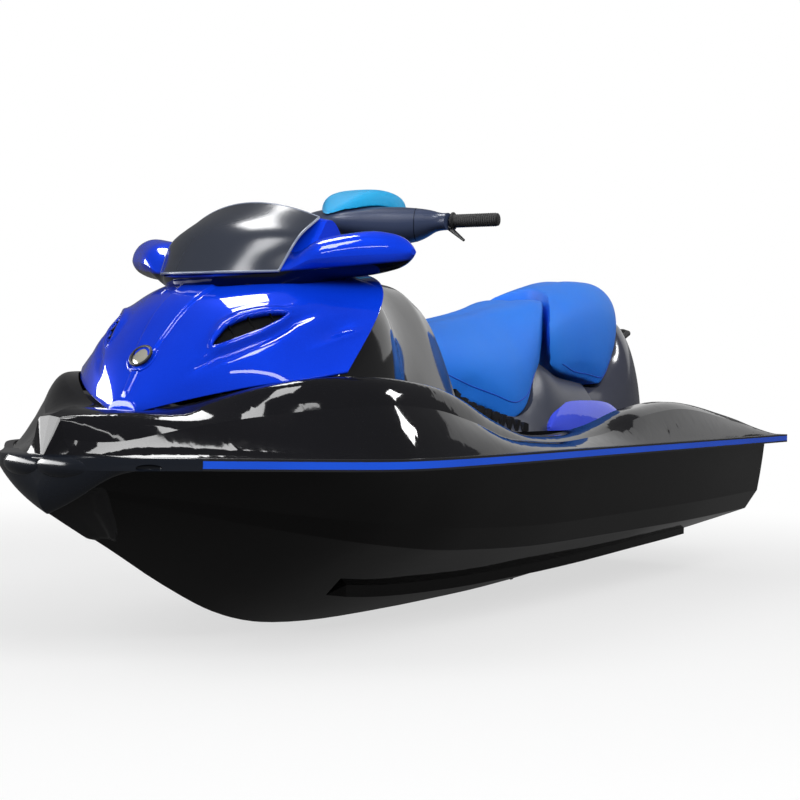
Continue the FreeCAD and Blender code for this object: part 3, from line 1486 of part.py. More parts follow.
def stern_eye():
    """Port lifting eye on the transom: a ring lug on a base plate."""
    low = EYE_Z - EYE_THICK / 2
    centre = Vector(EYE_X, EYE_Y, low)
    ring = Part.makeCylinder(EYE_BORE + EYE_RING, EYE_THICK, centre)
    neck = box((EYE_X, TRANSOM_X), (EYE_Y - 10, EYE_Y + 10), (low, low + EYE_THICK))
    plate = box((TRANSOM_X - 5, TRANSOM_X), (EYE_Y - 28, EYE_Y + 28), (EYE_Z - 20, EYE_Z + 20))
    bore = Part.makeCylinder(EYE_BORE, EYE_THICK + 2, centre - Vector(0, 0, 1))
    return ring.fuse([neck, plate]).cut(bore)


def build():
    """Every node of the craft by name."""
    port_rail, starboard_rail, stern_rail = split_rail(rail_ring().cut(insert_ring()))
    port_insert, starboard_insert, stern_insert = split_rail(insert_ring())
    nodes = {
        "hull": hull(),
        "deck": deck(),
        "rail_port": port_rail,
        "rail_starboard": starboard_rail,
        "rail_stern": stern_rail,
        "insert_port": port_insert,
        "insert_starboard": starboard_insert,
        "insert_stern": stern_insert,
        "bow_bumper": bow_bumper(),
        "console": console(),
        "storage_bin": storage_bin(),
        "seat_front": seat_front(),
        "seat_rear": seat_rear(),
        "seat_pedestal": seat_pedestal(),
        "seat_tail": seat_tail(),
        "grab_handle": grab_handle(),
        "platform_mat": platform_mat(),
        "engine_block": engine_block(),
        "ride_plate": ride_plate(),
        "intake_grate": intake_grate(),
        "pump_housing": pump_housing(),
        "stator": stator(),
        "hood_shell": hood_shell(),
        "mirror_cowl": mirror_cowl(),
        "visor": visor(),
        "badge": badge(),
        "steering_stem": steering_stem(),
        "handlebar": handlebar(),
        "bar_housing": bar_housing(),
        "bar_pad": bar_pad(),
        "nozzle": nozzle(),
        "reverse_gate": reverse_gate(),
        "impeller": impeller(),
    }
    for name, maker in (("accent", accent_panel), ("louvre", louvre_strip), ("mat", floor_mat),
                        ("grille", intake_grille), ("mirror", mirror_glass), ("grip", grip),
                        ("lever", bar_lever), ("stern_eye", stern_eye)):
        shape = maker()
        nodes[name + "_port"] = shape
        nodes[name + "_starboard"] = mirrored(shape)
    return nodes


if __name__ == "__main__":
    os.makedirs("parts", exist_ok=True)
    for name, shape in build().items():
        shape.exportStep(os.path.join("parts", name + ".step"))
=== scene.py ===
import json
import math

import bmesh
import bpy
import numpy as np
from mathutils import Matrix, Vector
from mathutils.bvhtree import BVHTree


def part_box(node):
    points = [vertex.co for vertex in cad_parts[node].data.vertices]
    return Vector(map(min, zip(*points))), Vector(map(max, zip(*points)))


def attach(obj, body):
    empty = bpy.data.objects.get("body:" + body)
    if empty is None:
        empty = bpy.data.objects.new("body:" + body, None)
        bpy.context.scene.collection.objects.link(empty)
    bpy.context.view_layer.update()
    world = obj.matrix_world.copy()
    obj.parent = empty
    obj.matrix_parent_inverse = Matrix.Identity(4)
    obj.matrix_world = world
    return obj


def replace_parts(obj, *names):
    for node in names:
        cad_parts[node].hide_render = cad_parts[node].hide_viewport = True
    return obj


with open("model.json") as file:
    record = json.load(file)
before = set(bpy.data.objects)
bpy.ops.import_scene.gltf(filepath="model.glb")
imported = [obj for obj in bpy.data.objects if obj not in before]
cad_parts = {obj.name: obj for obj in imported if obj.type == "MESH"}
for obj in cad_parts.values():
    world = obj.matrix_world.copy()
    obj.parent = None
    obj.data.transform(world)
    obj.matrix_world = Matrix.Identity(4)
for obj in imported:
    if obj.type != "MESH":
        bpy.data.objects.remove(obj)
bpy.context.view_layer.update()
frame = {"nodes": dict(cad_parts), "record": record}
scene = bpy.context.scene
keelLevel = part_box("hull")[0].z
print("frame loaded:", len(frame["nodes"]), "nodes")


# Camera, in the place and with the roll that the photograph was taken with

cameraSet = {
    "place": (3.8294, 2.4058, 0.4154),
    "forward": (-0.84318, -0.53737, -0.01641),
    "roll": 1.09,
    "lens": 72.0,
    "sensor": 36.0,
}


def makeCamera(settings):
    data = bpy.data.cameras.new("camera")
    data.lens = settings["lens"]
    data.sensor_width = settings["sensor"]
    camera = bpy.data.objects.new("camera", data)
    scene.collection.objects.link(camera)
    ahead = Vector(settings["forward"]).normalized()
    right = ahead.cross(Vector((0, 0, 1))).normalized()
    above = right.cross(ahead)
    turn = math.radians(settings["roll"])
    tiltedRight = right * math.cos(turn) + above * math.sin(turn)
    tiltedUp = above * math.cos(turn) - right * math.sin(turn)
    axes = Matrix((tiltedRight, tiltedUp, -ahead)).transposed()
    camera.matrix_world = Matrix.Translation(settings["place"]) @ axes.to_4x4()
    scene.camera = camera


makeCamera(cameraSet)
print("camera set")


# Shader maths: a socket that takes part in plain expressions

class Value:
    def __init__(self, finish, socket):
        self.finish = finish
        self.socket = socket

    def join(self, operation, other, swapped=False):
        pair = (other, self) if swapped else (self, other)
        return self.finish.node("ShaderNodeMath", {"operation": operation}, {0: pair[0], 1: pair[1]})

    def __add__(self, other):
        return self.join("ADD", other)

    def __radd__(self, other):
        return self.join("ADD", other, True)

    def __sub__(self, other):
        return self.join("SUBTRACT", other)

    def __rsub__(self, other):
        return self.join("SUBTRACT", other, True)

    def __mul__(self, other):
        return self.join("MULTIPLY", other)

    def __rmul__(self, other):
        return self.join("MULTIPLY", other, True)

    def __pow__(self, other):
        return self.join("POWER", other)


class Finish:
    def __init__(self, name, tree=None):
        if tree is None:
            self.material = bpy.data.materials.new(name)
            self.material.use_nodes = True
            tree = self.material.node_tree
        self.tree = tree
        self.shader = tree.nodes.get("Principled BSDF")
        if self.shader:
            self.where = self.node("ShaderNodeTexCoord", output=3)  # position on the craft, in metres

    def node(self, kind, settings=None, inputs=None, output=0):
        made = self.tree.nodes.new(kind)
        for key, value in (settings or {}).items():
            setattr(made, key, value)
        for key, value in (inputs or {}).items():
            self.feed(made.inputs[key], value)
        return Value(self, made.outputs[output])

    def feed(self, socket, value):
        if isinstance(value, Value):
            self.tree.links.new(value.socket, socket)
        elif socket.type == "RGBA" and len(value) == 3:
            socket.default_value = (*value, 1.0)
        else:
            socket.default_value = value

    def set(self, **inputs):
        for key, value in inputs.items():
            self.feed(self.shader.inputs[socketNames[key]], value)

    def ray(self, kind):
        return self.node("ShaderNodeLightPath", output=kind)

    def noise(self, scale, detail=2.0, rough=0.5, vector=None):
        return self.node("ShaderNodeTexNoise", inputs={"Vector": vector or self.where, "Scale": scale,
                                                       "Detail": detail, "Roughness": rough})

    def cells(self, scale, feature="F1", output=0):
        return self.node("ShaderNodeTexVoronoi", {"feature": feature}, {"Vector": self.where, "Scale": scale},
                         output)

    def axis(self, which, vector=None):
        return self.node("ShaderNodeSeparateXYZ", inputs={0: vector or self.where}, output="XYZ".index(which))

    def wave(self, which, pitch):  # sine along an axis
        return self.node("ShaderNodeMath", {"operation": "SINE"}, {0: self.axis(which) * (math.tau / pitch)})

    def smooth(self, value, low, high):  # 0 below low, 1 above high, an S between
        return self.node("ShaderNodeMapRange", {"interpolation_type": "SMOOTHSTEP"},
                         {"Value": value, "From Min": low, "From Max": high})

    def between(self, factor, first, second):  # colour mix
        return self.node("ShaderNodeMix", {"data_type": "RGBA"}, {0: factor, 6: first, 7: second}, 2)

    def bump(self, height, distance, strength):
        return self.node("ShaderNodeBump", inputs={"Height": height, "Distance": distance,
                                                   "Strength": strength})


socketNames = {
    "colour": "Base Color", "rough": "Roughness", "metal": "Metallic", "normal": "Normal", "ior": "IOR",
    "coat": "Coat Weight", "coatRough": "Coat Roughness", "coatIor": "Coat IOR",
    "specular": "Specular IOR Level",
}


def linear(*levels):  # screen colour, 0 to 255, as linear light
    shares = [level / 255 for level in levels]
    return tuple(s / 12.92 if s <= 0.04045 else ((s + 0.055) / 1.055) ** 2.4 for s in shares)


def shade(colour, share, lift=0.0):
    return tuple(level * share + lift for level in colour)


# Finishes: noise takes a scale and its detail, bump a depth in metres and its strength

def gelcoat(name, colour, haze):  # polished moulding colour under a faint ripple
    finish = Finish(name)
    cloud = finish.noise(3.2, 3.0)
    dust = finish.smooth(finish.noise(420.0), 0.66, 0.78)
    ripple = finish.noise(38.0, 1.0)
    peel = finish.noise(260.0, 1.0)
    tone = finish.between(cloud, colour, haze)
    tone = finish.between(dust * 0.12, tone, linear(92, 92, 96))
    finish.set(colour=tone, rough=0.03 + cloud * 0.04 + dust * 0.15, ior=1.33,
               normal=finish.bump(ripple + peel * 0.12, 0.0006, 0.16))
    return finish.material


def candyPaint(name, deep, bright, flakeGlint=0.3, paintedShadeLine=None):  # metallic base under clear lacquer
    finish = Finish(name)
    cloud = finish.noise(5.0)
    sparkle = finish.cells(1500.0, output=1)
    glint = tuple(min(1.0, level * 1.8 + 0.01) for level in bright)
    tone = finish.between(cloud, deep, bright)
    # painted glint: the flakes' sparkle is painted in as brighter specks of the colour
    tone = finish.between(finish.axis("X", sparkle) ** 4 * flakeGlint, tone, glint)
    # painted shade: below a line that rises aft, the cowl's underside is painted deep navy
    if paintedShadeLine:  # deep shade below a line that rises aft
        level = finish.axis("Z") + finish.axis("X") * 0.18
        tone = finish.between(finish.smooth(level, *paintedShadeLine), linear(5, 9, 26), tone)
    finish.set(colour=tone, metal=0.12, rough=0.36 + cloud * 0.06, specular=0.0, coat=1.0, coatRough=0.02,
               coatIor=1.42, normal=finish.bump(finish.noise(45.0, 1.0), 0.0005, 0.12))
    return finish.material


def vinyl(name, colour, light, grain=900.0):  # embossed upholstery skin
    finish = Finish(name)
    pores = finish.cells(grain, "DISTANCE_TO_EDGE")
    crease = finish.noise(26.0, 4.0, 0.6)
    tone = finish.between(finish.noise(4.0), colour, light)
    # painted shade: the grooves round the grain cells are darker
    tone = finish.between(1 - finish.smooth(pores, 0.0, 0.16), tone, shade(colour, 0.72))
    height = finish.smooth(pores, 0.0, 0.22) * 0.8 + crease * 0.7
    finish.set(colour=tone, rough=0.45 + crease * 0.12, specular=0.25,
               normal=finish.bump(height, 0.0006, 0.35))
    return finish.material


def skin(name, tones, cloud, grain, rough, bump, **rest):  # two tones in a cloud, over a fine grain
    finish = Finish(name)
    drift = finish.noise(*cloud)
    finish.set(colour=finish.between(drift, *tones), rough=rough[0] + drift * rough[1],
               normal=finish.bump(finish.noise(*grain), *bump), **rest)
    return finish.material


def moulded(name, colour, rough, ior=1.45):  # grained plastic
    return skin(name, (colour, shade(colour, 1.25, 0.002)), (6.0, 3.0), (1400.0,), (rough - 0.05, 0.12),
                (0.0004, 0.25), ior=ior)


def glossPlastic(name, colour, rough, ior=1.45):  # lacquered panel
    return skin(name, (colour, shade(colour, 1.3, 0.001)), (4.0,), (50.0, 1.0), (rough, 0.04),
                (0.0005, 0.1), ior=ior)


def castMetal(name, colour, rough):  # sand-cast and lightly machined
    return skin(name, (shade(colour, 0.78), colour), (18.0, 4.0), (900.0,), (rough - 0.08, 0.2),
                (0.0004, 0.25), metal=0.62)


def brushedMetal(name, colour, rough, along=(900.0, 40.0, 900.0), metal=0.62):
    finish = Finish(name)
    drawn = finish.node("ShaderNodeMapping", inputs={"Vector": finish.where, "Scale": along})
    streaks = finish.noise(1.0, 3.0, vector=drawn)
    finish.set(colour=finish.between(streaks, shade(colour, 0.85), colour), metal=metal,
               rough=rough + streaks * 0.12, normal=finish.bump(streaks, 0.0002, 0.15))
    return finish.material


def tractionRubber(name, colour, pitch=0.012):  # cross-ribbed foam mat
    finish = Finish(name)
    blocks = finish.smooth(finish.wave("X", pitch) * 0.5 + finish.wave("Y", pitch) * 0.5, -0.2, 0.35)
    foam = finish.noise(1600.0)
    # painted shade: the grooves between the blocks are darker
    finish.set(colour=finish.between(blocks, shade(colour, 0.45), colour), rough=0.72 + foam * 0.15, ior=1.4,
               normal=finish.bump(blocks + foam * 0.15, 0.0012, 0.8))
    return finish.material


def gripRubber(name, colour, pitch=0.006):  # ribbed along the bar
    finish = Finish(name)
    ribs = finish.smooth(finish.wave("Y", pitch), -0.3, 0.5)
    speck = finish.noise(1800.0)
    # painted shade: the grooves between the ribs are darker
    finish.set(colour=finish.between(ribs, shade(colour, 0.5), colour), rough=0.62 + speck * 0.12,
               normal=finish.bump(ribs + speck * 0.1, 0.0009, 0.7))
    return finish.material


blueDeep = linear(4, 44, 184)
blueLit = linear(6, 62, 226)
seatBlue = linear(38, 128, 255)
seatAzure = linear(52, 148, 255)

finishes = {
    "hull_gelcoat": gelcoat("hullGelcoat", linear(9, 8, 8), linear(14, 13, 13)),
    "deck_gelcoat": gelcoat("deckGelcoat", linear(17, 17, 19), linear(24, 24, 28)),
    "rail_rubber": moulded("railRubber", linear(30, 30, 33), 0.38),
    "insert_strip": glossPlastic("railInsert", linear(24, 82, 214), 0.2),
    "bumper_rubber": glossPlastic("bumperRubber", linear(22, 26, 34), 0.16),
    "console_gloss": glossPlastic("consoleGloss", linear(16, 16, 18), 0.07),
    "bin_plastic": moulded("binPlastic", linear(34, 34, 36), 0.55),
    "seat_vinyl": vinyl("seatVinyl", seatBlue, seatAzure),
    "pedestal_plastic": moulded("pedestalPlastic", linear(58, 62, 76), 0.34),
    "tail_gloss": glossPlastic("tailGloss", linear(62, 64, 76), 0.14),
    "handle_plastic": moulded("handlePlastic", linear(30, 30, 32), 0.45),
    "traction_mat": tractionRubber("tractionMat", linear(42, 42, 44)),
    "engine_iron": castMetal("engineIron", linear(90, 90, 92), 0.6),
    "plate_aluminium": castMetal("plateAluminium", linear(150, 152, 155), 0.4),
    "grate_aluminium": castMetal("grateAluminium", linear(150, 152, 155), 0.4),
    "pump_aluminium": castMetal("pumpAluminium", linear(165, 166, 170), 0.45),
    "hood_paint": candyPaint("hoodPaint", blueDeep, blueLit),
    # the cowl paint has painted shade on its underside
    "cowl_paint": candyPaint("cowlPaint", blueDeep, blueLit, paintedShadeLine=(0.8, 0.808)),
    "visor_gloss": glossPlastic("visorGloss", linear(46, 50, 60), 0.17, 1.38),
    "badge_chrome": brushedMetal("badgeChrome", linear(225, 222, 205), 0.08),
    "stem_plastic": moulded("stemPlastic", linear(26, 26, 28), 0.5),
    "bar_metal": moulded("barCoat", linear(28, 28, 30), 0.4),
    "housing_plastic": moulded("housingPlastic", linear(52, 62, 88), 0.3),
    "pad_vinyl": vinyl("padVinyl", linear(14, 168, 234), linear(26, 190, 244)),
    "nozzle_aluminium": castMetal("nozzleAluminium", linear(165, 166, 170), 0.45),
    "gate_aluminium": castMetal("gateAluminium", linear(165, 166, 170), 0.45),
    "impeller_steel": brushedMetal("impellerSteel", linear(205, 206, 208), 0.16),
    "accent_paint": candyPaint("accentPaint", linear(46, 60, 214), linear(74, 98, 250)),
    "louvre_plastic": moulded("louvrePlastic", linear(26, 26, 28), 0.4),
    "grille_plastic": moulded("grillePlastic", linear(3, 3, 4), 0.6, ior=1.15),
    "mirror_glass": brushedMetal("mirrorGlass", linear(222, 224, 228), 0.02, (30.0, 30.0, 30.0), 1.0),
    "grip_rubber": gripRubber("gripRubber", linear(30, 30, 32)),
    "lever_metal": moulded("leverCoat", linear(26, 26, 28), 0.35),
    "seam_thread": moulded("seamThread", linear(12, 60, 190), 0.5),
    # the bead's pale colour is a painted highlight along the visor's rim
    "visor_bead_painted_highlight": glossPlastic("visorBead", linear(120, 128, 146), 0.16),
    "dial_white": moulded("dialWhite", linear(225, 228, 232), 0.5),
    "cheek_gloss": glossPlastic("cheekGloss", linear(16, 16, 18), 0.12),
    "eye_steel": brushedMetal("eyeSteel", linear(205, 206, 208), 0.2),
}
slotOfNode = {row["node"]: row["material_slot"] for row in frame["record"]["subparts"]}
for name, node in frame["nodes"].items():
    node.data.materials.clear()
    # the mirror cowl takes the paint with painted shade on its underside
    node.data.materials.append(finishes["cowl_paint" if name == "mirror_cowl" else slotOfNode[name]])
print("finishes given to the nodes")


# Surfaces: whole arrays of points, in metres

def fairCurve(points):  # monotone cubic through (station, value) pairs: no overshoot between them
    xs, ys = np.array(points, float).T
    gap = np.diff(xs)
    slope = np.diff(ys) / gap
    before, after = slope[:-1], slope[1:]
    heavy = 2 * gap[1:] + gap[:-1]
    light = gap[1:] + 2 * gap[:-1]
    agree = before * after > 0
    weight = np.where(agree, heavy, 1.0) / np.where(agree, before, 1.0)
    weight = weight + np.where(agree, light, 1.0) / np.where(agree, after, 1.0)
    inner = np.where(agree, (heavy + light) / np.where(agree, weight, 1.0), 0.0)
    tangent = np.concatenate(([slope[0]], inner, [slope[-1]]))

    def value(x):
        x = np.clip(x, xs[0], xs[-1])
        i = np.clip(np.searchsorted(xs, x, "right") - 1, 0, len(gap) - 1)
        t = (x - xs[i]) / gap[i]
        low = (1 + 2 * t) * (1 - t) ** 2 * ys[i] + t * (1 - t) ** 2 * gap[i] * tangent[i]
        return low + t * t * (3 - 2 * t) * ys[i + 1] - t * t * (1 - t) * gap[i] * tangent[i + 1]

    return value


def smoothStep(x, low, high):  # 0 below low, 1 above high, an S between
    t = np.clip((x - low) / (high - low), 0.0, 1.0)
    return t * t * (3 - 2 * t)


def hill(x, centre, width):  # bell curve
    return np.exp(-((x - centre) / width) ** 2)


def unit(vectors):
    return vectors / np.maximum(np.linalg.norm(vectors, axis=-1, keepdims=True), 1e-12)


def gridFaces(rows, columns, loopRows=False, loopColumns=False):
    index = np.arange(rows * columns).reshape(rows, columns)
    if loopRows:
        index = np.vstack((index, index[:1]))
    if loopColumns:
        index = np.hstack((index, index[:, :1]))
    quads = np.stack((index[:-1, :-1], index[1:, :-1], index[1:, 1:], index[:-1, 1:]), -1)
    return quads.reshape(-1, 4).tolist()


def sweep(path, profile, reference, loop=False):
    # profile point (u, v) sits at path + u * side + v * lift: side is the reference
    # made square to the path, lift is square to both
    path = np.asarray(path)
    reference = np.broadcast_to(reference, path.shape)
    if loop:
        tangent = unit(np.roll(path, -1, 0) - np.roll(path, 1, 0))
    else:
        tangent = unit(np.gradient(path, axis=0))
    side = unit(reference - (reference * tangent).sum(-1, keepdims=True) * tangent)
    lift = np.cross(tangent, side)
    return path[:, None] + profile[None, :, :1] * side[:, None] + profile[None, :, 1:] * lift[:, None]


def fullTurn(count):
    return np.linspace(0, math.tau, count, endpoint=False)


def circle(radius, count=10, flat=1.0):
    turn = fullTurn(count)
    return np.stack((np.cos(turn) * radius, np.sin(turn) * radius * flat), -1)


def around(turn, side, rise):  # points of a unit circle in the plane of two directions
    return np.cos(turn)[:, None] * side + np.sin(turn)[:, None] * rise


def mirrored(port):  # a port half that ends on the middle line, with its starboard half
    return np.concatenate((port, port[:, -2::-1] * (1, -1, 1)), 1)


def addPiece(name, points, faces, body, slot, look=None, closed=True, smooth=True):
    mesh = bpy.data.meshes.new(name)
    mesh.from_pydata(np.asarray(points, float).reshape(-1, 3).tolist(), [], faces)
    if closed:
        shape = bmesh.new()
        shape.from_mesh(mesh)
        bmesh.ops.remove_doubles(shape, verts=shape.verts, dist=1e-6)
        bmesh.ops.recalc_face_normals(shape, faces=shape.faces)
        shape.to_mesh(mesh)
        shape.free()
    mesh.materials.append(finishes[look or slot])
    mesh.polygons.foreach_set("use_smooth", [smooth] * len(mesh.polygons))
    piece = bpy.data.objects.new(name, mesh)
    scene.collection.objects.link(piece)
    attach(piece, body)
    return piece


def tubeFaces(rows, columns):  # a tube with both ends capped
    ends = [list(range(columns)), list(range((rows - 1) * columns, rows * columns))]
    return gridFaces(rows, columns, False, True) + ends


def addSweep(name, path, profile, reference, body, slot, look=None, loop=False):
    grid = sweep(path, profile, reference, loop)
    rows, columns = grid.shape[:2]
    faces = gridFaces(rows, columns, True, True) if loop else tubeFaces(rows, columns)
    addPiece(name, grid, faces, body, slot, look)


def addMany(name, grids, body, slot, look=None):  # closed tubes of one size in one mesh
    count, rows, columns = np.shape(grids)[:3]
    one = tubeFaces(rows, columns)
    faces = [[corner + i * rows * columns for corner in face] for i in range(count) for face in one]
    addPiece(name, grids, faces, body, slot, look)


def addTurned(name, centre, axis, profile, count, body, slot):
    # turned shape: profile (radius, height) carried round the axis through the centre
    axis = unit(axis)
    first = unit(np.cross(axis, [0.31, 0.87, 0.38]))
    second = np.cross(axis, first)
    turn = fullTurn(count)[:, None, None]
    profile = np.asarray(profile, float)
    radius, height = profile[None, :, :1], profile[None, :, 1:]
    grid = centre + radius * (np.cos(turn) * first + np.sin(turn) * second) + height * axis
    columns = len(profile)
    faces = gridFaces(count, columns, True, False)
    faces += [[i * columns for i in range(count)], [i * columns + columns - 1 for i in range(count)]]
    return addPiece(name, grid, faces, body, slot)


def walled(sheet, thick):  # a wall inside an open sheet
    wall = sheet.modifiers.new("wall", "SOLIDIFY")
    wall.thickness = thick
    wall.offset = -1.0


def meshPoints(mesh):
    points = np.empty(len(mesh.vertices) * 3)
    mesh.vertices.foreach_get("co", points)
    return points.reshape(-1, 3)


def spanOf(mesh):
    points = meshPoints(mesh)
    return points.min(0), points.max(0)


def mergedCopy(nodeName, name):  # copy of a node's mesh with its loose triangles joined up
    mesh = frame["nodes"][nodeName].data.copy()
    mesh.name = name
    shape = bmesh.new()
    shape.from_mesh(mesh)
    bmesh.ops.remove_doubles(shape, verts=shape.verts, dist=2e-5)
    shape.to_mesh(mesh)
    shape.free()
    piece = bpy.data.objects.new(name, mesh)
    scene.collection.objects.link(piece)
    return piece


def treeOf(mesh):
    shape = bmesh.new()
    shape.from_mesh(mesh)
    tree = BVHTree.FromBMesh(shape)
    shape.free()
    return tree


def landed(tree, starts, way):  # where lines along one way or several meet a surface, and its normals
    ways = np.broadcast_to(way, np.shape(starts))
    hits = [tree.ray_cast(Vector(start), Vector(ray)) for start, ray in zip(starts, ways)]
    good = [hit for hit in hits if hit[0] is not None]
    return np.array([hit[0] for hit in good]), np.array([hit[1] for hit in good])


draft = -keelLevel * 1000
sides = ((1, "Port"), (-1, "Starboard"))


def onCraft(x, y, height):  # station, half-breadth and height above the keel, in millimetres
    return np.stack(np.broadcast_arrays(x, y, height - draft), -1) / 1000


# Hood: four lines from the rear edge to the nose, bridged by a Bezier curve from base to crown,
# with the relief that the moulding has round its intakes, along its crown and behind them

hoodSet = {  # each line's x, half-breadth and height at even shares, in millimetres
    "shares": (0, 0.25, 0.5, 0.75, 1),
    "base": ((900, 968, 1045, 1125, 1188), (400, 340, 262, 158, 40), (652, 634, 618, 590, 556)),
    "side": ((720, 890, 1015, 1118, 1190), (400, 318, 245, 150, 40), (840, 780, 735, 662, 575)),
    "brow": ((590, 832, 975, 1102, 1188), (380, 240, 150, 84, 25), (925, 882, 825, 718, 585)),
    "centre": ((600, 850, 1000, 1110, 1188), (0, 0, 0, 0, 0), (885, 872, 812, 700, 583)),
    "rows": 230,
    "columns": 130,
    "thick": 0.005,
    "noseRound": 5.0,
    "spine": [(0, 66), (0.25, 62), (0.5, 50), (0.7, 38), (0.79, 30), (0.87, 14), (1, 11)],
    "spineProud": 6.0,
    "spineSoft": 9.0,
    "eyeFore": (1090.0, 170.0, 721.0),
    "eyeAft": (930.0, 260.0, 792.0),
    "eyeLook": (0.55, 0.55, 0.63),
    "eyeUpper": [(0, 0), (0.06, 12), (0.14, 20), (0.28, 32), (0.44, 34), (0.66, 27), (0.87, 13), (1, 0)],
    "eyeLower": [(0, 0), (0.12, -6), (0.28, -10), (0.58, -14), (0.83, -9), (1, 0)],
    # how proud, how far off the intake's edge, how wide, and where along it each rises and falls
    "browRidge": (9.0, 9.0, 13.0, (-0.2, 0.3), (0.85, 1.35)),
    "lipRidge": (4.0, -9.0, 8.0, (-0.1, 0.2), (0.9, 1.15)),
    "valley": (-9.0, -30.0, 13.0, (-0.55, 0.1), (0.95, 1.5)),
    "valleyTilt": 6.0,
    "scallop": (885.0, 362.0, 775.0),
    "scallopBowl": (-9.0, 46.0, 0.0, 21.0),  # how proud, half-length, how far below, half-height
    "scallopLip": (4.0, 62.0, 30.0, 9.0),
    "edges": ((0.0, 0.05), (0.965, 1.0)),
}

eyeFore = np.array(hoodSet["eyeFore"])
eyeAlong = np.array(hoodSet["eyeAft"]) - eyeFore
eyeLong = np.linalg.norm(eyeAlong)
eyeAlong = eyeAlong / eyeLong
eyeLook = np.array(hoodSet["eyeLook"])
eyeLook = unit(eyeLook - eyeAlong * (eyeLook @ eyeAlong))
eyeRise = np.cross(eyeLook, eyeAlong)
eyeRise = eyeRise * np.sign(eyeRise[2])
eyeUpper = fairCurve(hoodSet["eyeUpper"])
eyeLower = fairCurve(hoodSet["eyeLower"])


def hoodSurface(share, across):  # Bezier over the four lines at a share of the length
    a, b, c, d = (np.stack([fairCurve(list(zip(hoodSet["shares"], table)))(share)
                            for table in hoodSet[line]], -1) for line in ("base", "side", "brow", "centre"))
    t = across[..., None]
    return a * (1 - t) ** 3 + 3 * b * t * (1 - t) ** 2 + 3 * c * t * t * (1 - t) + d * t ** 3


def eyePlace(points):  # share along the intake and height off its axis
    away = points - eyeFore
    return away @ eyeAlong / eyeLong, away @ eyeRise


def plateau(x, rise, fall):  # up over one span and down over another
    return smoothStep(x, *rise) * (1 - smoothStep(x, *fall))


def ridge(settings, along, off, edge):
    proud, away, wide, rise, fall = settings
    return proud * hill(off, edge + away, wide) * plateau(along, rise, fall)


def hoodRelief(share, points, settings):  # how far the skin stands proud, in millimetres
    along, off = eyePlace(points)
    height = ridge(settings["browRidge"], along, off, eyeUpper(along))
    height = height + ridge(settings["lipRidge"], along, off, eyeLower(along))
    height = height + ridge(settings["valley"], along, off, eyeLower(along) + settings["valleyTilt"] * along)
    spine = fairCurve(settings["spine"])(share)
    crown = 1 - smoothStep(points[..., 1], spine - settings["spineSoft"], spine)
    height = height + settings["spineProud"] * crown
    away = points - np.array(settings["scallop"])
    for proud, long, below, tall in (settings["scallopBowl"], settings["scallopLip"]):
        height = height + proud * hill(away @ eyeAlong, 0, long) * hill(away @ eyeRise, -below, tall)
    return height * plateau(share, *settings["edges"])


def buildHood(settings):
    share, across = np.meshgrid(np.linspace(0, 1, settings["rows"]), np.linspace(0, 1, settings["columns"]),
                                indexing="ij")
    port = hoodSurface(share, across)
    normal = unit(np.cross(np.gradient(port, axis=1), np.gradient(port, axis=0)))
    normal[:, -1] = unit(normal[:, -1] * (1, 0, 1))
    port = port + normal * hoodRelief(share, port, settings)[..., None]
    port[:, -1, 1] = 0.0
    fold = np.linspace(0, math.pi / 2, 9)[1:, None, None]  # the nose folds down to its base line
    edge = port[-1:]
    fall = (edge[..., 2:] - port[-1, 0, 2]) * (np.cos(fold) - 1)
    cap = edge + np.concatenate((settings["noseRound"] * np.sin(fold) + 0 * fall, 0 * fall, fall), -1)
    full = mirrored(np.concatenate((port, cap)))
    faces = np.array(gridFaces(*full.shape[:2]))
    flat = full.reshape(-1, 3)
    middle = flat[faces].mean(1)
    middle[:, 1] = np.abs(middle[:, 1])
    along, off = eyePlace(middle)
    inside = (np.abs(along - 0.5) < 0.48) & (off > eyeLower(along) + 1) & (off < eyeUpper(along) - 1)
    flat = (flat - (0, 0, draft)) / 1000
    hood = addPiece("hoodSkin", flat, faces[~inside][:, ::-1].tolist(), "hood", "hood_paint", closed=False)
    walled(hood, settings["thick"])
    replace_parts(hood, "hood_shell")
    return BVHTree.FromPolygons([tuple(point) for point in flat], faces.tolist())


hoodTree = buildHood(hoodSet)


# Rim of each intake: a lip carried round the eye, turned down into a short duct, with slats across it

rimSet = {
    "count": 72,
    "profile": [(11, -2.5), (9.5, 1.2), (6.5, 3.4), (3.2, 3.6), (0.8, 2.2), (-0.4, -0.6), (-0.8, -8),
                (-0.6, -24), (3, -24), (4, -6)],
    "slats": (0.3, 0.55, 0.8),
    "slatDeep": -9.0,
    "slatPoints": 9,
    "slat": (0.0022, 8, 2.6),
    "reach": 0.12,
}


def onHood(share, off):  # shares of the intake's length and heights off its axis, landed on the hood
    flat = eyeFore + share[:, None] * eyeLong * eyeAlong + off[:, None] * eyeRise
    return landed(hoodTree, (flat - (0, 0, draft)) / 1000 + eyeLook * rimSet["reach"], -eyeLook)


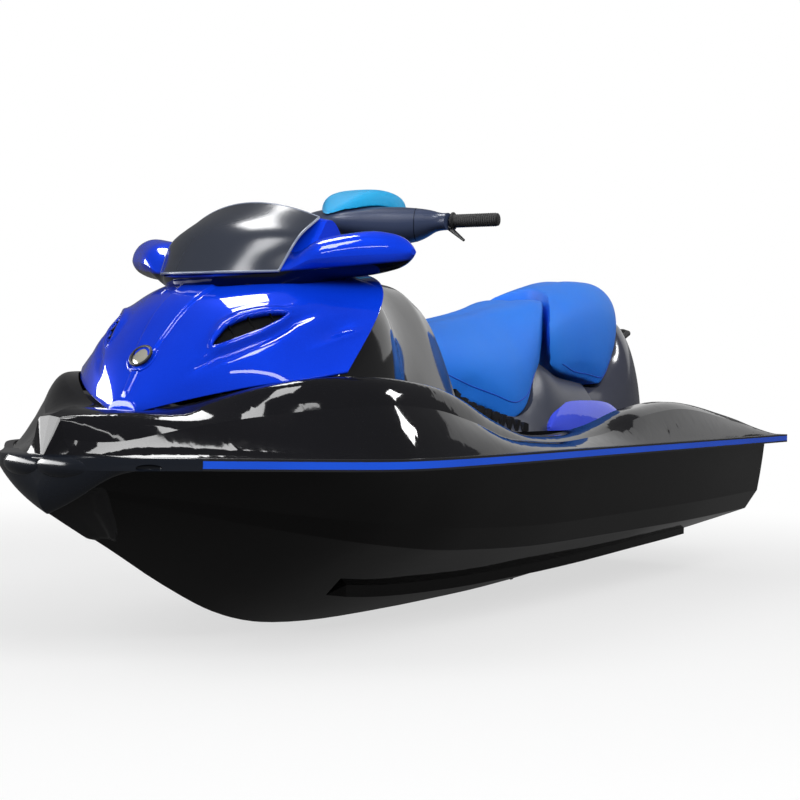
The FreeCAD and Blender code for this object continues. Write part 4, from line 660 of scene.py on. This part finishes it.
def buildIntake(side, sideName, settings):
    share = (1 - np.cos(np.linspace(0, math.pi, settings["count"] // 2 + 1))) / 2
    back = share[::-1]
    spots, normals = onHood(np.concatenate((share[:-1], back[:-1])),
                            np.concatenate((eyeUpper(share)[:-1], eyeLower(back)[:-1])))
    outward = np.cross(unit(np.roll(spots, -1, 0) - np.roll(spots, 1, 0)), normals)
    outward = unit(outward * np.sign(((spots - spots.mean(0)) * outward).sum(-1).mean()))
    profile = np.array(settings["profile"]) / 1000
    depth = np.where(profile[:, 1] < -1e-3, 1.0, 0.0)[None, :, None]
    away = normals[:, None] * (1 - depth) + eyeLook * depth
    grid = spots[:, None] + profile[None, :, :1] * outward[:, None] + profile[None, :, 1:] * away
    mirror = np.array((1, side, 1))
    addPiece("intakeRim" + sideName, grid * mirror, gridFaces(*grid.shape[:2], True, True), "hood",
             "hood_paint")
    for number, place in enumerate(settings["slats"]):
        low, high = float(eyeLower(place)), float(eyeUpper(place))
        height = np.linspace(low, high, settings["slatPoints"])
        line, _ = onHood(height * 0 + place, height)
        line = (line + eyeLook * settings["slatDeep"] / 1000) * mirror
        addSweep("intakeSlat" + sideName + str(number), line, circle(*settings["slat"]), eyeAlong * mirror,
                 "hood", "grille_plastic")


for side, sideName in sides:
    buildIntake(side, sideName, rimSet)


# Hinge lugs under the nose, round the pin in the foredeck

lugSet = {"pinX": 1197.0, "pinHeight": 548.0, "ring": 8.0, "bore": 4.2, "inner": 30.0, "outer": 38.0,
          "ends": (-34, -24), "under": 3.5}


def buildLugs(settings):
    turn = fullTurn(24)
    pin, level, ring, bore, inner, outer, (aft, fore), under = settings.values()
    for side, sideName in sides:
        rings = [onCraft(pin + radius * np.cos(turn), side * y, level + radius * np.sin(turn))
                 for radius, y in ((bore, inner), (ring, inner), (ring, outer), (bore, outer))]
        addPiece("hingeRing" + sideName, np.stack(rings, 1), gridFaces(24, 4, True, True), "hood",
                 "hood_paint")
        spots, _ = landed(hoodTree, [onCraft(pin + x, side * outer, level) for x in (aft, fore)], (0, 0, 1))
        aftTop, foreTop = (spots[:, 2] - (level - draft) / 1000) * 1000 - under
        corners = [(-7, -2), (aft, -2), (aft, aftTop), (fore, foreTop), (fore, 8), (-4, 8)]
        arm = [onCraft(pin + x, side * y, level + z) for y in (inner, outer) for x, z in corners]
        faces = [list(range(6)), list(range(6, 12))]
        faces += [[i, (i + 1) % 6, (i + 1) % 6 + 6, i + 6] for i in range(6)]
        addPiece("hingeArm" + sideName, arm, faces, "hood", "hood_paint", smooth=False)


buildLugs(lugSet)
print("hood built")


# Saddle and crash pad: each pad is its solid drawn in a little, blown up as cloth and capped

saddleSet = {"body": "craft", "voxel": 0.008, "drawn": 0.006, "cap": 0.009, "fill": 0.8,
             "slot": "seat_vinyl"}
padSet = {
    "seat_front": {"name": "riderPad", **saddleSet},
    "seat_rear": {"name": "passengerPad", **saddleSet},
    "bar_pad": {"name": "crashPad", "body": "steering", "voxel": 0.004, "drawn": 0.003, "cap": 0.004,
                "fill": 0.9, "slot": "pad_vinyl"},
}
clothSet = {"use_pressure": True, "uniform_pressure_force": 4.0, "tension_stiffness": 15.0,
            "compression_stiffness": 15.0, "bending_stiffness": 6.0, "quality": 4}
blowSet = {"frames": 20, "easedBefore": 3, "eased": 24, "easedAfter": 2}


def meshNormals(mesh):
    normals = np.empty(len(mesh.vertices) * 3)
    mesh.vertex_normals.foreach_get("vector", normals)
    return normals.reshape(-1, 3)


def putPoints(mesh, points):
    mesh.vertices.foreach_set("co", np.asarray(points, float).ravel())
    mesh.update()


def applied(piece):  # the mesh as its modifiers leave it
    graph = bpy.context.evaluated_depsgraph_get()
    return bpy.data.meshes.new_from_object(piece.evaluated_get(graph))


def eased(mesh, rounds, values=None):  # each point's place, or value, half way to its neighbours' mean
    edges = np.empty(len(mesh.edges) * 2, int)
    mesh.edges.foreach_get("vertices", edges)
    edges = edges.reshape(-1, 2)
    points = meshPoints(mesh) if values is None else values
    count = np.bincount(edges.ravel(), minlength=len(points))[:, None]
    for _ in range(rounds):
        total = np.zeros_like(points)
        np.add.at(total, edges[:, 0], points[edges[:, 1]])
        np.add.at(total, edges[:, 1], points[edges[:, 0]])
        points = points * 0.5 + total / count * 0.5
    return points


def buildPad(nodeName, settings):
    pad = mergedCopy(nodeName, settings["name"])
    grid = pad.modifiers.new("grid", "REMESH")
    grid.mode = "VOXEL"
    grid.voxel_size = settings["voxel"]
    mesh = applied(pad)
    pad.modifiers.clear()
    points = eased(mesh, blowSet["easedBefore"])
    putPoints(mesh, points)
    start = points - meshNormals(mesh) * settings["drawn"]
    putPoints(mesh, start)
    pad.data = mesh
    away = meshNormals(mesh) * settings["drawn"]
    cloth = pad.modifiers.new("cloth", "CLOTH")
    for key, value in clothSet.items():
        setattr(cloth.settings, key, value)
    cloth.settings.effector_weights.gravity = 0
    cloth.point_cache.frame_end = blowSet["frames"]
    for moment in range(1, blowSet["frames"] + 1):
        scene.frame_set(moment)
    blown = applied(pad)
    pad.modifiers.clear()
    scene.frame_set(1)
    away = meshPoints(blown) - start
    far = np.linalg.norm(away, axis=1, keepdims=True)
    away = away * np.minimum(1.0, settings["cap"] / np.maximum(far, 1e-9))
    putPoints(mesh, start + eased(mesh, blowSet["eased"], away))
    putPoints(mesh, eased(mesh, blowSet["easedAfter"]))
    mesh.materials.clear()
    mesh.materials.append(finishes[settings["slot"]])
    mesh.polygons.foreach_set("use_smooth", [True] * len(mesh.polygons))
    finer = pad.modifiers.new("finer", "SUBSURF")
    finer.levels = finer.render_levels = 1
    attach(pad, settings["body"])
    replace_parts(pad, nodeName)
    return pad


pads = {nodeName: buildPad(nodeName, settings) for nodeName, settings in padSet.items()}
print("pads blown up")


# Skirt seams: a thread along each side of the saddle pads, through (station, height) points

seamSet = {
    "thread": 0.0016, "sink": 0.0002, "points": 70, "from": 500.0,
    "seat_front": [(-420, 660), (-330, 590), (-260, 574), (-160, 596), (-60, 622), (20, 648), (66, 668)],
    "seat_rear": [(-1050, 770), (-990, 708), (-900, 650), (-800, 660), (-700, 668), (-600, 690)],
}


def buildSkirtSeams(nodeName, settings):
    line = settings[nodeName]
    tree = treeOf(pads[nodeName].data)
    x = np.linspace(line[-1][0], line[0][0], settings["points"])
    for side, sideName in sides:
        starts = onCraft(x, side * settings["from"], fairCurve(line)(x))
        spots, normals = landed(tree, starts, (0, -side, 0))
        addSweep(pads[nodeName].name + "Seam" + sideName, spots - normals * settings["sink"],
                 circle(settings["thread"], 8), normals, "craft", "seat_vinyl", "seam_thread")


buildSkirtSeams("seat_front", seamSet)
buildSkirtSeams("seat_rear", seamSet)
print("pads sewn")

nodeTree = {name: treeOf(frame["nodes"][name].data)
            for name in ("hull", "bow_bumper", "mirror_cowl", "bar_housing", "ride_plate", "intake_grate")}


# Deck mats: each sheet keeps its outline, with a rounded edge and chevron ribs on it

matSet = {"edge": 0.0016, "sharp": 50.0, "pitch": 26.0, "sweep": 14.0, "margin": 12.0, "aft": 26.0,
          "fore": 16.0, "over": 20.0, "points": 13, "rib": (0.0032, 8, 0.62), "upright": 0.9}


def buildMat(nodeName, name, settings):
    mat = mergedCopy(nodeName, name)
    edge = mat.modifiers.new("edge", "BEVEL")
    edge.width = settings["edge"]
    edge.segments = 2
    edge.limit_method = "ANGLE"
    edge.angle_limit = math.radians(settings["sharp"])
    mat.data.materials.clear()
    mat.data.materials.append(finishes["traction_mat"])
    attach(mat, "craft")
    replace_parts(mat, nodeName)
    low, high = (corner * 1000 for corner in spanOf(mat.data))
    tree = treeOf(mat.data)
    y = np.linspace(low[1] + settings["margin"], high[1] - settings["margin"], settings["points"])
    bent = np.abs(y - (low[1] + high[1]) / 2) / (high[1] - low[1]) * 2
    ribs = []
    first, last = low[0] + settings["aft"], high[0] - settings["fore"] - settings["sweep"]
    for x in np.arange(first, last, settings["pitch"]):
        starts = np.stack((x + settings["sweep"] * bent, y, y * 0 + high[2] + settings["over"]), -1) / 1000
        spots, normals = landed(tree, starts, (0, 0, -1))
        if len(spots) == len(y) and normals[:, 2].min() > settings["upright"]:
            ribs.append(sweep(spots, circle(*settings["rib"]), (1, 0, 0)))
    addMany(name + "Ribs", ribs, "craft", "traction_mat")


for nodeName, matName in (("mat_port", "wellMatPort"), ("mat_starboard", "wellMatStarboard"),
                          ("platform_mat", "platformMat")):
    buildMat(nodeName, matName, matSet)


# Visor: a bead round its edge, coloured pale as a painted highlight along the rim

visorSet = {
    "half": [(0, 178), (0.5, 190), (1, 186)], "front": [(0, 972), (0.5, 882), (1, 750)],
    "level": [(0, 876), (0.5, 982), (1, 1058)], "sweep": [(0, 105), (0.5, 70), (1, 30)],
    "droop": [(0, -8), (0.5, 20), (1, 38)],
    "look": (0.75, 0.0, 0.66), "middle": 2.4, "bead": 0.0034, "tall": 40, "wide": 60,
}


def buildVisorBead(settings):  # up the port edge, across the top, down and back, in the middle of the wall
    rise, across = np.linspace(0, 1, settings["tall"]), np.linspace(1, -1, settings["wide"])[1:-1]
    v = np.concatenate((rise, across * 0 + 1, rise[::-1], across * 0))
    u = np.concatenate((rise * 0 + 1, across, rise * 0 - 1, across[::-1]))
    half, front, level, back, droop = (fairCurve(settings[key])(v) for key in
                                       ("half", "front", "level", "sweep", "droop"))
    inset, look = settings["middle"], settings["look"]
    path = onCraft(front - back * u * u - inset * look[0], half * u * (1 - inset / 400),
                   level - droop * u * u - inset * look[2])
    addSweep("visorBead", path, circle(settings["bead"]), look, "hood", "visor_gloss", "visor_bead_painted_highlight", True)


buildVisorBead(visorSet)


# Badge: a plain disc in a dark ring, in a raised collar of the hood

badgeSet = {"look": (0.78, 0.0, 0.62), "at": (1128.0, 0.0, 676.0), "lift": 0.0064, "ring": 0.0268,
            "tube": 0.0034, "points": 64, "collar": 0.037, "collarTube": 0.0042, "collarPoints": 60,
            "open": 62.0, "over": 0.05, "sunk": 0.001}


def buildBadge(settings):
    look = unit(np.array(settings["look"]))
    side = np.array((0.0, 1.0, 0.0))
    rise = np.cross(look, side)
    centre = onCraft(*settings["at"]) + look * settings["lift"]
    ring = centre + around(fullTurn(settings["points"]), side, rise) * settings["ring"]
    addSweep("badgeRing", ring, circle(settings["tube"]), look, "hood", "badge_chrome", "stem_plastic", True)
    turn = np.linspace(settings["open"] - 90, 270 - settings["open"], settings["collarPoints"])
    collar = centre + around(np.radians(turn), side, -rise) * settings["collar"]
    spots, normals = landed(hoodTree, collar + look * settings["over"], -look)
    addSweep("badgeCollar", spots - look * settings["sunk"], circle(settings["collarTube"]), normals,
             "hood", "hood_paint")


buildBadge(badgeSet)


# Grips: ribbed rubber with a flange inboard and a domed end

gripSet = {
    "radius": 0.0165, "rib": 0.0013, "pitch": 0.0062, "ribSpan": (0.002, -0.006), "ribPoints": 150,
    "flange": 0.0235, "flangeWide": 0.005, "corner": 0.001, "endPart": 0.004,
    "dome": [(0.0168, -0.005), (0.0165, -0.0025), (0.0148, -0.0006), (0.008, 0.0), (0.0004, 0.0)],
}


def buildGrip(nodeName, name, side, settings):
    points = meshPoints(frame["nodes"][nodeName].data)
    middle = (points.min(0) + points.max(0)) / 2
    axis = np.linalg.svd(points - points.mean(0), full_matrices=False)[2][0]
    along = (points - middle) @ (axis * np.sign(axis[1]) * side)
    tip = points[along > along.max() - settings["endPart"]].mean(0)
    axis = tip - points[along < along.min() + settings["endPart"]].mean(0)
    start = along.min() - along.max()
    flange, inner, corner = settings["flange"], start + settings["flangeWide"], settings["corner"]
    place = np.linspace(inner + settings["ribSpan"][0], settings["ribSpan"][1], settings["ribPoints"])
    rib = settings["radius"] + settings["rib"] * np.abs(np.sin(place * math.pi / settings["pitch"]))
    head = [(settings["dome"][-1][0], start), (flange - corner, start), (flange, start + corner),
            (flange, inner - corner), (flange - corner, inner)]
    profile = head + list(zip(rib, place)) + settings["dome"]
    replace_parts(addTurned(name, tip, axis, profile, 40, "steering", "grip_rubber"), nodeName)


buildGrip("grip_port", "ribbedGripPort", 1, gripSet)
buildGrip("grip_starboard", "ribbedGripStarboard", -1, gripSet)


# Handlebar cover: panel gap across each arm

gapSet = {"at": 166.0, "lean": 18.0, "centre": (252.0, 1048.0), "turn": (-178, 178, 110), "reach": 0.16,
          "radius": 0.0011}


def buildCoverGaps(settings):
    turn = np.radians(np.linspace(*settings["turn"]))
    ways = np.stack((np.cos(turn), turn * 0, np.sin(turn)), -1)
    for side, sideName in sides:
        centre = onCraft(settings["centre"][0], side * settings["at"], settings["centre"][1])
        starts = centre + ways * settings["reach"] + ways[:, :1] * (0, side * settings["lean"] / 1000, 0)
        spots, normals = landed(nodeTree["bar_housing"], starts, -ways)
        addSweep("coverGap" + sideName, spots - normals * settings["radius"] / 2,
                 circle(settings["radius"], 8), normals, "steering", "housing_plastic", "grille_plastic")


buildCoverGaps(gapSet)


# Mirrors: a bezel round each glass

mirrorSet = {"tube": 0.0036, "inset": 0.0008, "points": 72}

for side, sideName in sides:
    low, high = spanOf(frame["nodes"]["mirror_" + sideName.lower()].data)
    middle, reach = (low + high) / 2, (high - low) / 2
    turn = fullTurn(mirrorSet["points"])
    path = np.stack((turn * 0 + low[0] + mirrorSet["inset"], middle[1] + reach[1] * np.cos(turn),
                     middle[2] + reach[2] * np.sin(turn)), -1)
    addSweep("mirrorBezel" + sideName, path, circle(mirrorSet["tube"]), (1, 0, 0), "hood",
             "stem_plastic", loop=True)


# Instruments on the dash: a speed dial between two small dials, with plain ticks

dialSet = {
    "eye": (560.0, 1112.0), "way": (0.73, 0.0, -0.68), "places": ((0, 0.046), (-84, 0.022), (84, 0.022)),
    "bezel": [(1, -0.016), (1, 0.004), (1.08, 0.0055), (1.14, 0.003), (1.14, -0.016), (1, -0.016)],
    "face": (-0.014, 0.001), "axle": 0.0003, "points": 56,
    "turn": (-40, 220, 14), "tick": (0.74, 0.92), "tickLine": (0.0009, 6, 0.5),
    "handTick": 4, "hand": (-0.15, 0.7), "handLine": (0.0012, 6, 0.6), "print": 0.0012,
}


def buildDials(settings):
    look, side = -unit(np.array(settings["way"])), np.array((0.0, 1.0, 0.0))
    rise = np.cross(look, side)
    ray = around(np.radians(np.linspace(*settings["turn"])), side, rise * np.sign(rise[2]))
    low, high = settings["face"]
    near, far = settings["tick"]
    tail, tip = settings["hand"]
    hand = ray[settings["handTick"]]
    for number, (y, radius) in enumerate(settings["places"]):
        start = onCraft(settings["eye"][0], y, settings["eye"][1])
        spot = landed(nodeTree["mirror_cowl"], [start], -look)[0][0]
        name = "dial" + str(number)
        bezel = [(radius * share, level) for share, level in settings["bezel"]]
        face = [(settings["axle"], low), (radius, low), (radius, high), (settings["axle"], high)]
        addTurned(name + "Bezel", spot, look, bezel, settings["points"], "hood", "eye_steel")
        addTurned(name + "Face", spot, look, face, settings["points"], "hood", "louvre_plastic")
        base = spot + look * settings["print"]
        line = circle(*settings["tickLine"])
        ticks = [sweep([base + r * radius * near, base + r * radius * far], line, look) for r in ray]
        ticks.append(sweep([base + hand * radius * tail, base + hand * radius * tip],
                           circle(*settings["handLine"]), look))
        addMany(name + "Ticks", ticks, "hood", "louvre_plastic", "dial_white")


buildDials(dialSet)


# Bow: a lobe to each side of the bumper's front, and a hollowed cheek below it on the stem

lobeSet = {"y": 58.0, "height": 447.0, "long": 62.0, "tall": 23.0, "proud": 9.0, "crown": 0.8,
           "edgeSunk": 1.2, "ahead": 1700.0, "middle": 0.004, "rows": 26, "columns": 72, "wall": 0.002}


def buildLobe(side, sideName, settings):  # dome over an oval, landed on the bumper's front
    rows, columns = settings["rows"], settings["columns"]
    share = np.linspace(settings["middle"], 1, rows)[:, None]
    turn = fullTurn(columns)[None, :]
    y = side * (settings["y"] + settings["long"] * share * np.cos(turn))
    height = settings["height"] + settings["tall"] * share * np.sin(turn)
    starts = onCraft(settings["ahead"], y, height).reshape(-1, 3)
    spots, _ = landed(nodeTree["bow_bumper"], starts, (-1, 0, 0))
    proud = settings["proud"] * (1 - share ** 2) ** settings["crown"] - settings["edgeSunk"] * share ** 4
    grid = spots + np.array((1.0, 0.0, 0.0)) * (proud + 0 * turn).reshape(-1, 1) / 1000
    faces = gridFaces(rows, columns, False, True) + [list(range(columns))]
    walled(addPiece("bumperLobe" + sideName, grid, faces, "craft", "bumper_rubber"), settings["wall"])


cheekSet = {
    "rim": [(0, (1350, 103, 396)), (0.22, (1318, 88, 376)), (0.42, (1292, 73, 352)), (0.62, (1268, 60, 328)),
            (0.82, (1243, 42, 298)), (1, (1222, 20, 272))],
    "swell": [(0, -2), (0.05, 2), (0.13, 8), (0.22, 7.5), (0.36, 2), (0.62, 1.5), (0.85, 5), (1, 7)],
    "ends": ((0, 0.1), (0.86, 1)), "endSunk": 2.2, "ahead": 2.0, "beside": 0.0005, "reach": 0.2,
    "rows": 60, "columns": 46, "wall": 0.003,
}


def buildCheek(settings):  # skin between a rim line and the stem, swelling at both and hollow between
    place = np.linspace(0, 1, settings["rows"])
    share = np.linspace(0, 1, settings["columns"])
    rim = onCraft(*(fairCurve([(at, point[k]) for at, point in settings["rim"]])(place) for k in range(3)))
    front = rim.copy()
    front[:, 0], front[:, 1] = settings["ahead"], settings["beside"]
    stem, _ = landed(nodeTree["hull"], front, (-1, 0, 0))
    stem[:, 1] = 0.0
    way = np.stack((0.45 + 0.1 * share, 0.55 * (1 - share ** 2), -0.7 + 0 * share), -1)
    way = np.broadcast_to(unit(way)[None], (len(place), len(share), 3)).reshape(-1, 3)
    flat = rim[:, None] * (1 - share)[None, :, None] + stem[:, None] * share[None, :, None]
    spots, _ = landed(nodeTree["hull"], flat.reshape(-1, 3) + way * settings["reach"] + (0, 1e-5, 0), -way)
    ends = plateau(place, *settings["ends"])[:, None]
    swell = fairCurve(settings["swell"])(share)[None] * ends - settings["endSunk"] * (1 - ends)
    port = (spots + way * (swell.reshape(-1, 1) / 1000)).reshape(len(place), len(share), 3)
    port[:, -1, 1] = 0.0
    full = mirrored(port)
    faces = np.array(gridFaces(*full.shape[:2]))[:, ::-1].tolist()
    cheek = addPiece("bowCheek", full, faces, "craft", "bumper_rubber", "cheek_gloss", closed=False)
    walled(cheek, settings["wall"])


for side, sideName in sides:
    buildLobe(side, sideName, lobeSet)
buildCheek(cheekSet)


# Domed screws under the ride plate and the intake grate, at shares of each one's box

screwSet = {
    "head": [(1.0, -1.2), (1.0, 0.45), (0.9, 0.8), (0.55, 1.0), (0.42, 1.0), (0.36, 0.4), (0.05, 0.4)],
    "flat": 0.45, "points": 14, "under": 0.4,
    "ride_plate": ("ridePlateScrews", 0.006, (0.08, 0.5, 0.92), (0.09, 0.91)),
    "intake_grate": ("grateScrews", 0.0055, (0.03, 0.97), (0.1, 0.5, 0.9)),
}


def buildScrews(nodeName, settings):  # the head's profile turned round the plate's normal
    name, radius, lengthwise, across = settings[nodeName]
    places = [(x, y, 0) for x in lengthwise for y in across]
    low, high = spanOf(frame["nodes"][nodeName].data)
    starts = low + (high - low) * np.array(places) - (0, 0, settings["under"])
    spots, normals = landed(nodeTree[nodeName], starts, (0, 0, 1))
    normals = unit(normals)
    first = unit(np.cross(normals, [0.31, 0.87, 0.38]))
    second = np.cross(normals, first)
    turn = fullTurn(settings["points"])[None, :, None]
    ring = np.cos(turn) * first[:, None] + np.sin(turn) * second[:, None]
    tall = radius * settings["flat"]
    grids = [spots[:, None] + ring * radius * r + normals[:, None] * tall * h for r, h in settings["head"]]
    addMany(name, np.stack(grids, 1), "craft", "eye_steel")


buildScrews("ride_plate", screwSet)
buildScrews("intake_grate", screwSet)
print("trim fitted")


# Studio: floor, windows and an even pale surround

studio = {
    "floorReach": 30.0, "floorDrop": 0.0005, "floorFade": (1.6, 4.0), "floorNear": 0.65,
    "floorShade": (0.1, 0.8), "worldShade": 0.5, "floorMirrored": 0.07, "worldMirrored": 0.14,
}


def makeFloor(settings):
    reach = settings["floorReach"]
    mesh = bpy.data.meshes.new("floor")
    corners = [(-reach, -reach), (reach, -reach), (reach, reach), (-reach, reach)]
    mesh.from_pydata([(x, y, keelLevel - settings["floorDrop"]) for x, y in corners], [], [(0, 1, 2, 3)])
    floor = bpy.data.objects.new("floor", mesh)
    scene.collection.objects.link(floor)
    finish = Finish("floorPaper")
    far = finish.node("ShaderNodeVectorMath", {"operation": "LENGTH"}, {0: finish.where}, 1)
    dim, plain = settings["floorShade"]  # what it throws back on the hull, and what the camera sees
    finish.set(colour=finish.ray("Is Camera Ray") * (plain - dim) + dim, rough=0.9, specular=0.0)
    seen = finish.ray("Is Camera Ray") + finish.ray("Is Transmission Ray")
    seen = seen + finish.ray("Is Glossy Ray") * settings["floorMirrored"]
    white = finish.node("ShaderNodeEmission", inputs={"Color": (1, 1, 1), "Strength": 1.0})
    near = settings["floorNear"]
    fade = finish.smooth(far, *settings["floorFade"]) * (1 - near) + near
    paper = Value(finish, finish.shader.outputs[0])
    mixed = finish.node("ShaderNodeMixShader", inputs={0: fade * seen, 1: paper, 2: white})
    finish.tree.links.new(mixed.socket, finish.tree.nodes["Material Output"].inputs["Surface"])
    mesh.materials.append(finish.material)


def makeWorld(settings):
    world = bpy.data.worlds.new("surround")
    world.use_nodes = True
    scene.world = world
    finish = Finish("surround", world.node_tree)
    back = world.node_tree.nodes["Background"]
    base = settings["worldShade"]
    seen = finish.ray("Is Camera Ray") + finish.ray("Is Transmission Ray")
    glossy = finish.ray("Is Glossy Ray")
    finish.feed(back.inputs["Color"], (1, 1, 1))
    strength = seen * (1 - base) + glossy * (settings["worldMirrored"] - base) + base
    finish.feed(back.inputs["Strength"], strength)


# Lamps: each hangs in a direction from a point of the craft, turned and raised by angles in
# degrees, at a distance and of a size in metres. A fill only lights, a window only shows in gloss

fillSet = {
    "fillPort": ((0.3, 0.0, 0.2), 58, 36, 6.0, (4.0, 3.0), 6.0),
    "fillBow": ((0.3, 0.0, 0.2), -20, 40, 6.0, (3.0, 3.0), 3.0),
}
windowSet = {
    "skylightFore": ((1.0, 0.2, 0.4), 46, 42, 3.6, (1.5, 0.16), 15),
    "skylightTop": ((0.85, 0.1, 0.5), 30, 67, 3.2, (0.7, 1.1), 20),
    "skylightAft": ((0.95, 0.1, 0.5), -132, 66, 3.4, (0.7, 1.1), 22),
    "sternPanel": ((0.2, 0.3, 0.3), -175, 20, 4.5, (3.6, 1.8), 0.8),
    "bowWindows": ((1.4, 0.0, 0.3), -56, 17, 4.0, (7.4, 1.4), 16),
    "sternWindow": ((0.85, 0.52, 0.3), 150, 38, 3.6, (0.5, 0.45), 40),
}


def hangLamp(name, window, aim, azimuth, height, far, size, bright):
    turn, rise = math.radians(azimuth), math.radians(height)
    way = Vector((math.cos(rise) * math.cos(turn), math.cos(rise) * math.sin(turn), math.sin(rise)))
    data = bpy.data.lights.new(name, "AREA")
    data.shape = "RECTANGLE"
    data.size, data.size_y = size
    data.energy = bright * math.pi * data.size * data.size_y
    lamp = bpy.data.objects.new(name, data)
    lamp.location = Vector(aim) + way * far
    lamp.rotation_euler = way.to_track_quat("Z", "Y").to_matrix().to_euler()
    lamp.visible_diffuse = not window
    lamp.visible_glossy = window
    scene.collection.objects.link(lamp)


makeFloor(studio)
makeWorld(studio)
for lampName, settings in fillSet.items():
    hangLamp(lampName, False, *settings)
for lampName, settings in windowSet.items():
    hangLamp(lampName, True, *settings)
print("studio set")

scene.view_settings.view_transform = "Standard"
